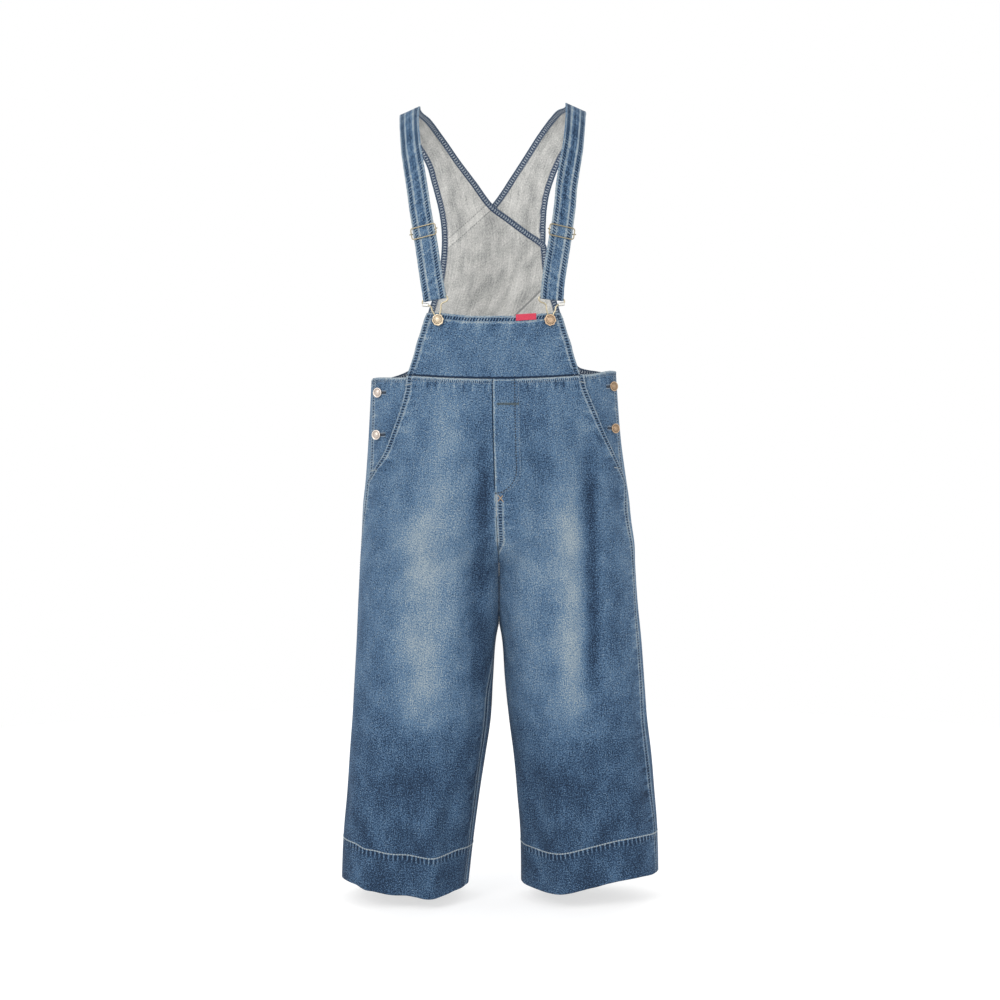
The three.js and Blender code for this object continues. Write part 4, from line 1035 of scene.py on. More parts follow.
def smooth_mesh(name, points, faces, materials):
    """A smooth-shaded mesh object from points in millimetres."""
    mesh = bpy.data.meshes.new(name)
    mesh.from_pydata((np.asarray(points) * MM).tolist(), [], faces)
    mesh.polygons.foreach_set("use_smooth", [True] * len(mesh.polygons))
    for material in materials:
        mesh.materials.append(material)
    piece = bpy.data.objects.new(name, mesh)
    bpy.context.scene.collection.objects.link(piece)
    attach(piece, "root")
    return piece


def add_values(mesh, name, values):
    attribute = mesh.attributes.new(name, "FLOAT", "POINT")
    attribute.data.foreach_set("value", np.asarray(values, np.float32))


def shell_faces(index, ring):
    """Faces of a closed shell: the outside, the rim over a middle line, and the inside."""
    count = index.size
    mid = 2 * count + np.arange(len(ring))
    quads = np.stack([index[:-1, :-1], index[1:, :-1], index[1:, 1:], index[:-1, 1:]], -1).reshape(-1, 4)
    next_ring, next_mid = np.roll(ring, -1), np.roll(mid, -1)
    to_mid = np.stack([ring, next_ring, next_mid, mid], -1)
    to_inner = np.stack([mid, next_mid, next_ring + count, ring + count], -1)
    return np.concatenate([quads, to_mid, to_inner, quads[:, ::-1] + count])


def shell(name, grid, thick, materials, roll, seams=EDGES, turned=0.0):
    """A closed shell of cloth with rolled edges, and the values that its material reads."""
    outer = grid["points"]
    rows, cols = outer.shape[:2]
    thick = np.broadcast_to(np.asarray(thick, float), (rows, cols))
    inner = outer - grid["normals"] * thick[..., None]
    rim = perimeter(rows, cols)
    at_i, at_j = np.array([i for i, _, _ in rim]), np.array([j for _, j, _ in rim])
    edge = outer[at_i, at_j]
    beside = outer[np.clip(at_i, 1, rows - 2), np.clip(at_j, 1, cols - 2)]
    bulge = np.array([roll.get(side, SEWN_ROLL) for _, _, side in rim]) * thick[at_i, at_j]
    middle = (edge + inner[at_i, at_j]) / 2 + unit(edge - beside) * bulge[:, None]
    index = np.arange(rows * cols).reshape(rows, cols)
    faces = shell_faces(index, index[at_i, at_j])
    normal = np.cross(outer[1, 0] - outer[0, 0], outer[0, 1] - outer[0, 0])
    if normal.dot(grid["normals"][0, 0]) < 0:
        faces = faces[:, ::-1]
    points = np.concatenate([outer.reshape(-1, 3), inner.reshape(-1, 3), middle])
    piece = smooth_mesh(name, points, faces.tolist(), materials)
    inside = np.arange(len(faces)) >= len(faces) - (rows - 1) * (cols - 1)
    piece.data.polygons.foreach_set("material_index", inside * (len(materials) - 1))
    values = {
        "fade": fade_and_shade_at(grid["face"], outer[..., 0], outer[..., 2]),
        **edge_distances(grid, seams),
        "hem": grid.get("hem", -FAR),
        "piped": grid.get("piped", FAR),
        "ridge": grid.get("ridge", FAR),
        "ridge_run": grid.get("ridge_run", 0),
        "lining": grid.get("lining", -FAR),
        "striped": grid.get("striped", 0),
        "turned": turned,
        "across": (lengths(outer, 1) + grid.get("starts", 0)) * MM,
        "down": lengths(outer, 0) * MM,
    }
    spread = {}
    for key, value in values.items():
        value = np.broadcast_to(np.asarray(value, float), (rows, cols))
        spread[key] = np.concatenate([value.ravel(), value.ravel(), value[at_i, at_j]])
    for key in VALUES:
        add_values(piece.data, key, spread[key])
    loops = np.empty(len(piece.data.loops), np.int32)
    piece.data.loops.foreach_get("vertex_index", loops)
    cloth_map = np.stack([spread["across"], spread["down"]], -1)[loops]
    piece.data.uv_layers.new(name="cloth").data.foreach_set("uv", cloth_map.ravel())
    return piece


class Shade:
    """A material's nodes, added one by one. Inputs are numbers, colours or other sockets."""

    def __init__(self, name, **settings):
        self.material = bpy.data.materials.new(name)
        self.material.use_nodes = True
        self.tree = self.material.node_tree
        self.shader = self.tree.nodes["Principled BSDF"]
        for key, value in settings.items():
            self.put(self.shader.inputs[key.replace("_", " ")], value)

    def put(self, socket, value):
        if isinstance(value, bpy.types.NodeSocket):
            self.tree.links.new(value, socket)
        else:
            socket.default_value = value

    def add(self, kind, inputs, out=0, **settings):
        node = self.tree.nodes.new("ShaderNode" + kind)
        for key, value in settings.items():
            setattr(node, key, value)
        for key, value in inputs.items():
            self.put(node.inputs[key], value)
        return node.outputs[out]

    def math(self, operation, a, b=0.0):
        return self.add("Math", {0: a, 1: b}, operation=operation)

    def value(self, name):
        return self.add("Attribute", {}, "Fac", attribute_name=name)

    def cloth(self, across, down):
        """The cloth's own coordinates, scaled."""
        uv = self.add("UVMap", {}, uv_map="cloth")
        return self.add("Mapping", {"Vector": uv, "Scale": (across, down, 1)})

    def noise(self, vector, scale=1.0, detail=2.0):
        return self.add("TexNoise", {"Vector": vector, "Scale": scale, "Detail": detail})

    def swing(self, value, amount):
        """A 0 to 1 value turned into one that swings round 0 by amount."""
        return self.math("MULTIPLY", self.math("SUBTRACT", value, 0.5), amount)

    def band(self, value, start, end):
        """1 where value is below start, 0 above end, soft between."""
        inputs = {"Value": value, "From Min": start, "From Max": end, "To Min": 1.0, "To Max": 0.0}
        return self.add("MapRange", inputs, interpolation_type="SMOOTHSTEP")

    def ramp(self, factor, stops):
        socket = self.add("ValToRGB", {"Fac": factor})
        elements = socket.node.color_ramp.elements
        for k, (place, colour) in enumerate(stops):
            element = elements[k] if k < 2 else elements.new(place)
            element.position = place
            element.color = (*colour, 1)
        return socket

    def total(self, *values):
        out = values[0]
        for value in values[1:]:
            out = self.math("ADD", out, value)
        return out

    def bump(self, height, distance, strength=1.0):
        normal = self.add("Bump", {"Height": height, "Distance": distance, "Strength": strength})
        self.put(self.shader.inputs["Normal"], normal)


DENIM_STOPS = [
    (0.0, (0.013, 0.026, 0.052)),
    (1.0, (0.340, 0.395, 0.430)),
    (0.14, (0.031, 0.063, 0.122)),
    (0.40, (0.074, 0.145, 0.250)),
    (0.62, (0.127, 0.210, 0.312)),
    (0.80, (0.190, 0.250, 0.296)),
]


# A sewn edge, by distance from it in millimetres: a pale roll, a ladder of dark ticks between
# two rows of stitches, whose dark is painted shade in the puckers' recesses, a pale ridge, and soft
# puckers further in
TICK_PITCH = 4.7
TOOTH_PITCH = 7.8  # puckers under the hem's stitches
PIPING_PITCH = 3.4


def swings(s, run, pitch):
    """A wave from 0 to 1 along a run."""
    wave = s.math("SINE", s.math("MULTIPLY", run, 2 * math.pi / pitch))
    return s.math("ADD", s.math("MULTIPLY", wave, 0.5), 0.5)


def edge_marks(s):
    """What an edge adds to the denim's lightness, painted shade included, and to its height."""
    near, run, sewn, valley = [s.value(name) for name in ("near", "run", "sewn", "valley")]
    roll = s.math("MULTIPLY", s.band(near, 2.2, 3.4), s.math("SUBTRACT", 1.0, valley))
    ladder = s.math("MULTIPLY", s.band(near, 7.8, 8.8), s.math("SUBTRACT", 1.0, s.band(near, 2.4, 3.6)))
    # the ticks' dark is painted shade in the recesses between the puckers; the bump sinks them too
    tick = s.math("MULTIPLY", ladder, swings(s, run, TICK_PITCH))
    ridge = s.math("SUBTRACT", s.band(near, 11.0, 13.5), s.band(near, 8.2, 9.2))
    along = s.add("CombineXYZ", {"X": s.math("MULTIPLY", run, 0.13), "Y": s.math("MULTIPLY", near, 0.02)})
    rope = s.swing(s.noise(along, 1.0, 1.0), 1.0)
    pucker = s.math("MULTIPLY", s.band(near, 11.0, 38.0), rope)
    stitched = s.total(
        s.math("MULTIPLY", tick, -0.95),
        s.math("MULTIPLY", ladder, 0.24),
        s.math("MULTIPLY", ridge, 0.40),
        s.math("MULTIPLY", pucker, 0.9),
    )
    # a dark line of painted shade along an edge in a valley, such as the shadow beside the fly's lap
    valley_shade = s.math("MULTIPLY", s.band(near, 2.0, 3.8), valley)
    lightness = s.total(
        s.math("MULTIPLY", roll, 0.42),
        s.math("MULTIPLY", stitched, sewn),
        s.math("MULTIPLY", valley_shade, -0.9),
    )
    band = s.math("MULTIPLY", s.band(near, 9.0, 10.8), 1.3)
    raised = s.total(band, s.math("MULTIPLY", tick, -0.9), pucker)
    return lightness, s.math("MULTIPLY", raised, sewn)


def piping_marks(s):
    """The pale rolled edge under the waist seam, worn pale with a painted highlight where it faces up, with fine
    ticks of painted shade and short puckers below it.
    """
    down = s.value("piped")
    across = s.add("SeparateXYZ", {"Vector": s.cloth(1000, 1000)}, "X")
    roll = s.band(down, 6.0, 7.4)
    tick = s.math("MULTIPLY", s.band(down, 6.4, 7.8), swings(s, across, PIPING_PITCH))
    tick = s.math("MULTIPLY", tick, s.math("SUBTRACT", 1.0, s.band(down, 3.0, 4.0)))
    along = s.add("CombineXYZ", {"X": s.math("MULTIPLY", across, 0.16), "Y": s.math("MULTIPLY", down, 0.03)})
    rope = s.swing(s.noise(along, 1.0, 1.0), 1.0)
    pucker = s.math("MULTIPLY", s.math("SUBTRACT", s.band(down, 10.0, 30.0), roll), rope)
    # the roll's pale is wear with a painted highlight; the ticks' dark is painted shade in the recesses
    lightness = s.total(
        s.math("MULTIPLY", roll, 0.50), s.math("MULTIPLY", tick, -0.85), s.math("MULTIPLY", pucker, 1.2)
    )
    return lightness, pucker


def hem_marks(s):
    """The hem's band: a pale stitched line with puckers like teeth just below it."""
    below = s.value("hem")
    uv = s.add("SeparateXYZ", {"Vector": s.cloth(1000, 1000)}, "X")
    under = s.math("MULTIPLY", s.band(below, 6.0, 14.0), s.math("SUBTRACT", 1.0, s.band(below, -0.4, 0.8)))
    tooth = s.math("MULTIPLY", under, s.math("POWER", swings(s, uv, TOOTH_PITCH), 2.2))
    line = s.math("MULTIPLY", s.band(below, 0.8, 1.8), s.math("SUBTRACT", 1.0, s.band(below, -1.6, -0.8)))
    lightness = s.total(
        s.math("MULTIPLY", tooth, 0.70), s.math("MULTIPLY", under, -0.30), s.math("MULTIPLY", line, 0.34)
    )
    height = s.math("MULTIPLY", tooth, 0.9)
    return lightness, height


def denim(name):
    """Washed denim: faded by the fade value, which also holds painted shade, with heather, slubs, and worn,
    puckered edges with painted shade.
    """
    s = Shade(name, Roughness=0.95, Sheen_Weight=0.02, Specular_IOR_Level=0.14)
    grain = s.noise(s.cloth(560, 430), detail=3)
    heather = s.noise(s.cloth(900, 640), detail=2)
    slub = s.noise(s.cloth(430, 40), detail=3)
    cloud = s.noise(s.cloth(24, 17), detail=4)
    stripe = s.noise(s.cloth(130, 3), detail=1)
    edge_light, edge_height = edge_marks(s)
    hem_light, hem_height = hem_marks(s)
    pipe_light, pipe_height = piping_marks(s)
    level = s.total(
        # the fade value holds real fading and the painted shade of the dark streaks
        s.math("MULTIPLY", s.value("fade"), 0.72),
        0.14,
        s.swing(grain, 2.0),
        s.swing(heather, 1.7),
        s.swing(slub, 0.5),
        s.swing(cloud, 0.7),
        s.math("MULTIPLY", s.swing(stripe, 2.2), s.value("striped")),
        edge_light,
        hem_light,
        pipe_light,
    )
    s.put(s.shader.inputs["Base Color"], s.ramp(level, DENIM_STOPS))
    twill = s.add(
        "TexWave",
        {"Vector": s.cloth(1, 1), "Scale": 330.0, "Distortion": 1.2, "Detail": 1.0},
        out=1,
        bands_direction="DIAGONAL",
    )
    height = s.total(s.math("MULTIPLY", twill, 0.3), s.math("MULTIPLY", grain, 0.9), heather)
    s.bump(s.total(height, edge_height, hem_height, pipe_height), 0.0007)
    return s.material


def ridge_marks(s):
    """Where another layer is sewn behind: painted light and shade of its ridge, a paler band between two stitched
    darker lines; and a painted shadow line along the lining's edge, with the lining paler past it.
    """
    off, run = s.value("ridge"), s.value("ridge_run")
    # painted highlight on the ridge, with dashed lines of painted shade beside it
    band = s.band(off, 6.6, 7.6)
    line = s.math("SUBTRACT", s.band(off, 6.8, 7.8), s.band(off, 5.0, 5.8))
    dashes = s.math("ADD", 0.5, swings(s, run, TICK_PITCH))
    past = s.value("lining")
    # a dark line of painted shadow along the lining's edge
    edge = s.band(s.math("ABSOLUTE", past), 0.9, 1.9)
    return s.total(
        s.math("MULTIPLY", band, 0.14),
        s.math("MULTIPLY", s.math("MULTIPLY", line, dashes), -0.42),
        s.math("MULTIPLY", edge, -1.1),
        s.math("MULTIPLY", s.math("SUBTRACT", 1.0, s.band(past, 0.0, 2.0)), 0.16),
    )


def denim_inside(name):
    """The pale inner side, with soft bands of painted fold shade, and the turned hems showing the outside's dark
    blue.
    """
    s = Shade(name, Roughness=0.95, Sheen_Weight=0.05, Specular_IOR_Level=0.14)
    heather = s.noise(s.cloth(520, 380), detail=3)
    slub = s.noise(s.cloth(380, 20), detail=2)
    cloud = s.noise(s.cloth(46, 30), detail=4)
    # long soft bands of painted fold shade
    fold = s.noise(s.cloth(17, 3), detail=2)
    near, run, turned = s.value("near"), s.value("run"), s.value("turned")
    stitch = s.math("SUBTRACT", s.band(near, 7.4, 8.4), s.band(near, 2.4, 3.4))
    dots = s.math("MULTIPLY", stitch, s.math("POWER", swings(s, run, TICK_PITCH), 2.0))
    level = s.total(
        0.5,
        s.swing(heather, 1.6),
        s.swing(slub, 0.7),
        s.swing(cloud, 1.3),
        s.swing(fold, 1.1),
        ridge_marks(s),
    )
    hem = s.total(0.0, s.swing(heather, 0.9), s.math("MULTIPLY", dots, 0.95))
    pale = s.ramp(level, [(0.0, (0.25, 0.255, 0.25)), (1.0, (0.68, 0.67, 0.64))])
    blue = s.ramp(hem, [(0.0, (0.03, 0.05, 0.095)), (1.0, (0.42, 0.47, 0.52))])
    colour = s.add("MixRGB", {"Fac": turned, "Color1": pale, "Color2": blue})
    s.put(s.shader.inputs["Base Color"], colour)
    s.bump(s.total(s.math("MULTIPLY", heather, 0.5), slub, s.math("MULTIPLY", dots, turned)), 0.0006)
    return s.material


def metal(name, light, dark, rough):
    """Metal with a worn, uneven tone; the patina value darkens its recesses."""
    s = Shade(name, Metallic=1.0, Roughness=rough)
    where = s.add("TexCoord", {}, "Object")
    mottle = s.noise(where, 900.0, 3.0)
    level = s.total(s.value("patina"), s.swing(mottle, 0.5))
    s.put(s.shader.inputs["Base Color"], s.ramp(level, [(0.0, light), (1.0, dark)]))
    s.bump(mottle, 0.00008)
    return s.material


def plain(name, colour, rough=0.9):
    """Thread or woven tape in one shade, with a fine twist."""
    s = Shade(name, Roughness=rough, Sheen_Weight=0.1)
    where = s.add("TexCoord", {}, "Object")
    grain = s.noise(where, 1500.0, 2.0)
    dark, light = [tuple(c * k for c in colour) for k in (0.6, 1.3)]
    s.put(s.shader.inputs["Base Color"], s.ramp(grain, [(0.25, dark), (0.75, light)]))
    s.bump(grain, 0.0003)
    return s.material


def tube(name, points, plane, closed, radius, material, sides=14):
    """A round wire along points that lie in one plane, with its normal."""
    points = np.asarray(points)
    if closed:
        ahead = np.roll(points, -1, 0) - np.roll(points, 1, 0)
    else:
        ahead = np.gradient(points, axis=0)
    beside = unit(np.cross(plane, unit(ahead)))
    angle = np.linspace(0, 2 * math.pi, sides, endpoint=False)
    ring = np.cos(angle)[None, :, None] * beside[:, None] + np.sin(angle)[None, :, None] * plane
    verts = (points[:, None] + radius * ring).reshape(-1, 3)
    count = len(points)
    faces = []
    for i in range(count if closed else count - 1):
        a, b = i * sides, (i + 1) % count * sides
        faces += [(a + j, a + (j + 1) % sides, b + (j + 1) % sides, b + j) for j in range(sides)]
    if not closed:
        faces += [tuple(range(sides))[::-1], tuple(range((count - 1) * sides, count * sides))]
    piece = smooth_mesh(name, verts, faces, [material])
    add_values(piece.data, "patina", np.full(len(verts), 0.25))
    return piece


def rounded(points, count):
    """A smooth open line through points, evenly spaced."""
    points = np.asarray(points, float)
    step = np.concatenate([[0], np.cumsum(np.linalg.norm(np.diff(points, axis=0), axis=1))])
    rows = {"run": step, "a": points[:, 0], "b": points[:, 1]}
    run = np.linspace(0, step[-1], count)
    return np.stack([column(rows, "run", "a", run), column(rows, "run", "b", run)], -1)


def in_frame(at, across, up, out):
    across, up, out = np.broadcast_arrays(across, up, out)
    basis = np.stack([at["across"], at["up"], at["out"]])
    return at["point"] + np.stack([across, up, out], -1).astype(float) @ basis


CLIP_RADIUS = 1.3


def clip(side, material):
    frame = clip_frame(side)
    half = rounded(CLIP_WIRE, 70)
    other = half[1:][::-1] * (-1, 1)
    line = np.concatenate([half, other])
    points = in_frame(frame, line[:, 0], line[:, 1], STRAP_OFF["mid"])
    return tube("clip_wire_" + side["name"], points, frame["out"], True, CLIP_RADIUS, material)


def slider(side, material):
    line = strap_line(side)
    at = strap_at(line, slider_length(line))
    width, height, corner = SLIDER["width"] / 2, SLIDER["height"] / 2, SLIDER["corner"]
    loop = []
    for quarter, (sx, sy) in enumerate([(1, 1), (-1, 1), (-1, -1), (1, -1)]):
        angle = np.radians(np.linspace(0, 90, 9) + 90 * quarter)
        across = sx * (width - corner) + corner * np.cos(angle)
        loop.append(np.stack([across, sy * (height - corner) + corner * np.sin(angle)], -1))
    loop = np.concatenate(loop)
    points = in_frame(at, loop[:, 0], loop[:, 1], SLIDER["off"])
    frame_piece = tube("slider_frame_" + side["name"], points, at["out"], True, WIRE / 2, material)
    off, bar = SLIDER["off"], SLIDER["bar"]
    half = [(SLIDER["prong"], off), (width + 0.9, off), (width - 1, mix(bar, off, 0.55)), (width - 2, bar)]
    path = half + [(width - 4.5, bar), (4.5 - width, bar)] + [(-a, o) for a, o in half[::-1]]
    path = rounded(path, 60)
    points = in_frame(at, path[:, 0], 0, path[:, 1])
    bar_piece = tube("slider_bar_" + side["name"], points, at["up"], False, WIRE / 2, material)
    return frame_piece, bar_piece


def turned_piece(name, profile, frame, material, sides=64, lobes=0):
    """A turned shape on a seat; profile columns are radius, height, lobe depth and patina."""
    angle = np.linspace(0, 2 * math.pi, sides, endpoint=False)
    verts, patina, faces = [], [], []
    turns = profile.get("turn", 0 * profile["radius"]) * frame.get("turn", 0)
    for k, turn in enumerate(turns):
        radius = profile["radius"][k] * (1 + profile["lobe"][k] * np.cos(lobes * angle))
        across, out = radius * np.cos(angle), profile["height"][k]
        turned_across = across * np.cos(turn) + out * np.sin(turn)
        turned_out = out * np.cos(turn) - across * np.sin(turn)
        verts.append(in_frame(frame, turned_across, radius * np.sin(angle), turned_out))
        patina += [profile["patina"][k]] * sides
    for k in range(len(verts) - 1):
        a, b = k * sides, (k + 1) * sides
        faces += [(a + j, a + (j + 1) % sides, b + (j + 1) % sides, b + j) for j in range(sides)]
    faces += [tuple(range(sides))[::-1], tuple(range((len(verts) - 1) * sides, len(verts) * sides))]
    piece = smooth_mesh(name, np.concatenate(verts), faces, [material])
    add_values(piece.data, "patina", patina)
    return piece


BUTTON_COLUMNS = "radius height lobe patina"
UNDER = BIB_BUTTON["under"]
BIB_BUTTON_PROFILE = table(
    BUTTON_COLUMNS,
    (2.3, 0.3, 0, 0.9),
    (2.3, UNDER, 0, 0.9),
    (8.6, UNDER, 0.05, 0.4),
    (9.3, UNDER + 0.3, 0.05, 0.1),
    (9.5, UNDER + 0.8, 0.05, 0.0),
    (9.3, UNDER + 1.5, 0.05, 0.0),
    (8.8, UNDER + 1.9, 0.05, 0.0),
    (8.0, UNDER + 1.95, 0.04, 0.1),
    (7.0, UNDER + 1.5, 0.01, 0.9),
    (6.5, UNDER + 1.5, 0, 0.9),
    (6.1, UNDER + 2.3, 0, 0.3),
    (5.6, UNDER + 2.7, 0, 0.2),
    (5.0, UNDER + 2.6, 0, 0.6),
    (4.5, UNDER + 2.5, 0, 0.8),
    (4.1, UNDER + 2.9, 0, 0.3),
    (2.6, UNDER + 3.1, 0, 0.2),
    (1.2, UNDER + 3.1, 0, 0.3),
)
SIDE_BUTTON_COLUMNS = "radius height lobe patina turn"
SIDE_BUTTON_PROFILE = table(
    SIDE_BUTTON_COLUMNS,
    (2.6, 0.3, 0, 0.9, 0),
    (2.2, 1.5, 0, 0.9, 0.1),
    (2.2, 4.1, 0, 0.9, 1),
    (7.7, 4.1, 0, 0.5, 1),
    (8.1, 4.4, 0, 0.1, 1),
    (8.2, 4.9, 0, 0.0, 1),
    (8.0, 5.4, 0, 0.0, 1),
    (7.4, 5.7, 0, 0.0, 1),
    (6.7, 5.7, 0, 0.1, 1),
    (6.0, 5.2, 0, 0.8, 1),
    (5.3, 5.2, 0, 0.8, 1),
    (4.9, 6.0, 0, 0.3, 1),
    (4.5, 6.4, 0, 0.2, 1),
    (3.7, 6.3, 0, 0.6, 1),
    (3.0, 6.3, 0, 0.5, 1),
    (2.4, 6.7, 0, 0.2, 1),
    (1.4, 6.8, 0, 0.3, 1),
)
SIDE_BUTTON_TURN = 0.42  # how far the shank turns the head towards the front, in radians


def side_button_frame(side, z, inset):
    path = outline(side, "front", z)
    points, normals = leg_row(side, "front", path, z, np.array([inset, inset + 1.0]), FACING_SUNK)
    out, up = normals[0], np.array([0.0, 0, 1])
    across = unit(np.cross(up, out))
    turn = -np.sign(out[0]) * SIDE_BUTTON_TURN
    return {"point": points[0], "across": across, "up": np.cross(out, across), "out": out, "turn": turn}


FLY_TAPER = 9  # the lap's outer edge sinks to the front under it over this width
FLY_THICK = {"edge": 0.25, "lap": 1.0}

# Materials
DENIM = denim("denim")
INSIDE = denim_inside("denim_inside")
WIRE_METAL = metal("wire_metal", (0.60, 0.53, 0.38), (0.20, 0.165, 0.10), 0.34)
PALE_BRASS = metal("pale_brass", (0.68, 0.57, 0.42), (0.17, 0.12, 0.075), 0.4)
ANTIQUE_BRASS = metal("antique_brass", (0.66, 0.48, 0.32), (0.12, 0.07, 0.045), 0.38)
PLATE_METAL = metal("plate_metal", (0.86, 0.85, 0.80), (0.45, 0.43, 0.38), 0.4)
DARK_WIRE = metal("slider_metal", (0.40, 0.35, 0.25), (0.13, 0.11, 0.07), 0.36)
COPPER = metal("copper", (0.50, 0.36, 0.24), (0.13, 0.08, 0.05), 0.42)
SILVER = metal("pink_silver", (0.74, 0.66, 0.60), (0.30, 0.24, 0.20), 0.42)
RED = plain("red_tape", (0.56, 0.045, 0.085))
THREAD = plain("thread", (0.21, 0.27, 0.34))
PALE_THREAD = plain("pale_thread", (0.34, 0.39, 0.42))
# dark thread, and the painted shade in the buttonhole slits
DARK_THREAD_AND_SHADE = plain("dark_thread_and_shade", (0.022, 0.034, 0.055))
RUST_THREAD = plain("rust_thread", (0.48, 0.34, 0.21))
OLIVE_THREAD = plain("olive_thread", (0.085, 0.10, 0.085))

ROLLED = 0.35  # how far a free edge bulges, in thicknesses


def cloth(node, grid, thick=CLOTH, rolled=(), **settings):
    """The shell of a cloth node, which it replaces, with its free edges rolled."""
    add_relief(grid)
    roll = {edge: ROLLED for edge in rolled}
    piece = shell("cloth_" + node, grid, thick, [DENIM, INSIDE], roll, **settings)
    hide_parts(node)
    GRIDS[node] = grid
    PIECES[node] = piece


def band_below(distance, width):
    """1 within a width of an edge and 0 beyond it, for a turned hem."""
    return smooth((width + 0.6 - distance) / 1.2)


PIPING = {"height": 1.4, "width": 7.0}


def add_piping(grid):
    """Rolls the front's top edge up into the piping under the waist seam."""
    down = lengths(grid["points"], 0)
    t = np.clip(down / PIPING["width"], 0, 1)
    shape = np.sqrt(t) * (1 - t) * 2.6
    grid["points"] = grid["points"] + grid["normals"] * (PIPING["height"] * shape)[..., None]


# the right front's edge under the fly's lap is a valley, painted dark as the lap's shadow
FLY_GROOVE = (OPEN_TOP, FLY["foot"])
LEG_SEAMS = {
    ("front", "right"): {
        "first": SEWN,
        "last": [("sewn", CROTCH - 20, HEM), ("valley", *FLY_GROOVE)],
    },
    ("front", "left"): {"first": SEWN, "last": [("sewn", FLY["foot"] - 6, CROTCH)]},
    ("back", "right"): {"top": SEWN, "first": PLAIN, "last": [("sewn", SIDE_TOP, CROTCH)]},
    ("back", "left"): {"top": SEWN, "first": PLAIN, "last": PLAIN},
}
FACING_SEAMS = {"first": SEWN}
STRAP_SEAMS = {"first": SEWN, "last": SEWN}
BIB_SEAMS = {"top": VALLEY, "bottom": SEWN, "first": SEWN, "last": SEWN}
STRIPES = {"right": 0.6, "left": 1.0}
GRIDS, PIECES = {}, {}


def build_legs():
    for name, side in SIDES.items():
        for face in ("front", "back"):
            grid = leg_grid(side, face)
            if face == "front":
                add_piping(grid)
                grid["piped"] = lengths(grid["points"], 0)
            in_hem = (grid["hem"] > 0) * 1.0
            seams = dict(LEG_SEAMS[face, name])
            thick = mix(CLOTH, HEM_CLOTH, in_hem)
            cloth(f"{face}_leg_{name}", grid, thick, ["bottom"], seams=seams, turned=in_hem)
        facing = facing_grid(side)
        add_piping(facing)
        facing["piped"] = lengths(facing["points"], 0)
        cloth("pocket_facing_" + name, facing, rolled=["top", "first"], seams=FACING_SEAMS)
        strap = strap_grid(side)
        strap["striped"] = STRIPES[name]
        cloth("strap_" + name, strap, STRAP_CLOTH, ["first", "last"], seams=STRAP_SEAMS, turned=1.0)


# Lines on the back's inside, by x and z: where the wing is sewn behind, and a lining's edge; painted
# light and shade are drawn along both.
WING_SEWN = ((-15.8, -146.3), (-96.0, -219.0))
LINING_EDGE = ((33.6, -335.9), (74.4, -296.5))
TURNED = 10.5  # how wide the turned hems show on the inside


def line_coordinates(points, line):
    """Run along a straight line of x and z, and the offset to its right, for a grid's points."""
    start, end = np.array(line)
    along = unit(end - start)
    away = points[..., [0, 2]] - start
    return away @ along, away @ np.array([along[1], -along[0]]), np.linalg.norm(end - start)


def mark_inside(grid):
    """Distances from the two lines on the back's inside."""
    run, off, long = line_coordinates(grid["points"], WING_SEWN)
    grid["ridge"] = np.abs(off) + np.maximum(0, np.maximum(-run, run - long))
    grid["ridge_run"] = run
    run, off, _ = line_coordinates(grid["points"], LINING_EDGE)
    grid["lining"] = np.where(run > -30, off, -FAR)


def build_upper():
    cloth("bib_front", bib_grid(), rolled=["bottom", "first", "last"], seams=BIB_SEAMS)
    back, wing = back_bib_grid(), back_wing_grid()
    mark_inside(back)
    for node, grid in (("back_bib", back), ("back_wing", wing)):
        grid["slanted"] = True
        near = edge_distances(grid, {"first": SEWN, "last": SEWN})["near"]
        cloth(node, grid, rolled=["first", "last"], turned=band_below(near, TURNED))
    grid = fly_grid()
    near = edge_distances(grid, {"first": SEWN})["near"]
    tapered = smooth(near / FLY_TAPER)
    lift = SEAM_GAP + mix(FLY_THICK["edge"], FLY_THICK["lap"], tapered)
    grid["points"] = grid["points"] + grid["normals"] * lift[..., None]
    thick = mix(FLY_THICK["edge"], FLY_THICK["lap"], tapered)
    cloth("fly_lap", grid, thick, seams={"last": PLAIN})


def build_tab():
    grid = tab_grid()
    grid["points"] = grid["points"] + grid["normals"] * (SEAM_GAP + TAB["thick"])
    piece = shell("red_tab", grid, TAB["thick"], [RED], {"top": ROLLED, "bottom": ROLLED})
    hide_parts("tab_label")


# Stitches: short rounded lengths of thread along lines of points with normals
STITCH = {"pitch": 4.7, "long": 3.2, "wide": 1.0, "high": 0.6}
STITCH_SIDES = 5
STITCH_SHOULDER = 0.32  # where the full width ends, in lengths from the middle


def stitch_form():
    """One stitch of unit size along x, and its faces."""
    angle = np.linspace(0, 2 * math.pi, STITCH_SIDES, endpoint=False)
    ring = np.stack([0 * angle, np.cos(angle) / 2, np.sin(angle) / 2], -1)
    ends = [(-0.5, 0, 0), (0.5, 0, 0)]
    points = np.concatenate([ends, ring - (STITCH_SHOULDER, 0, 0), ring + (STITCH_SHOULDER, 0, 0)])
    faces = []
    for k in range(STITCH_SIDES):
        a, b = 2 + k, 2 + (k + 1) % STITCH_SIDES
        c, d = b + STITCH_SIDES, a + STITCH_SIDES
        faces += [(a, d, c), (a, c, b), (0, a, b), (1, c, d)]
    return points, np.array(faces)


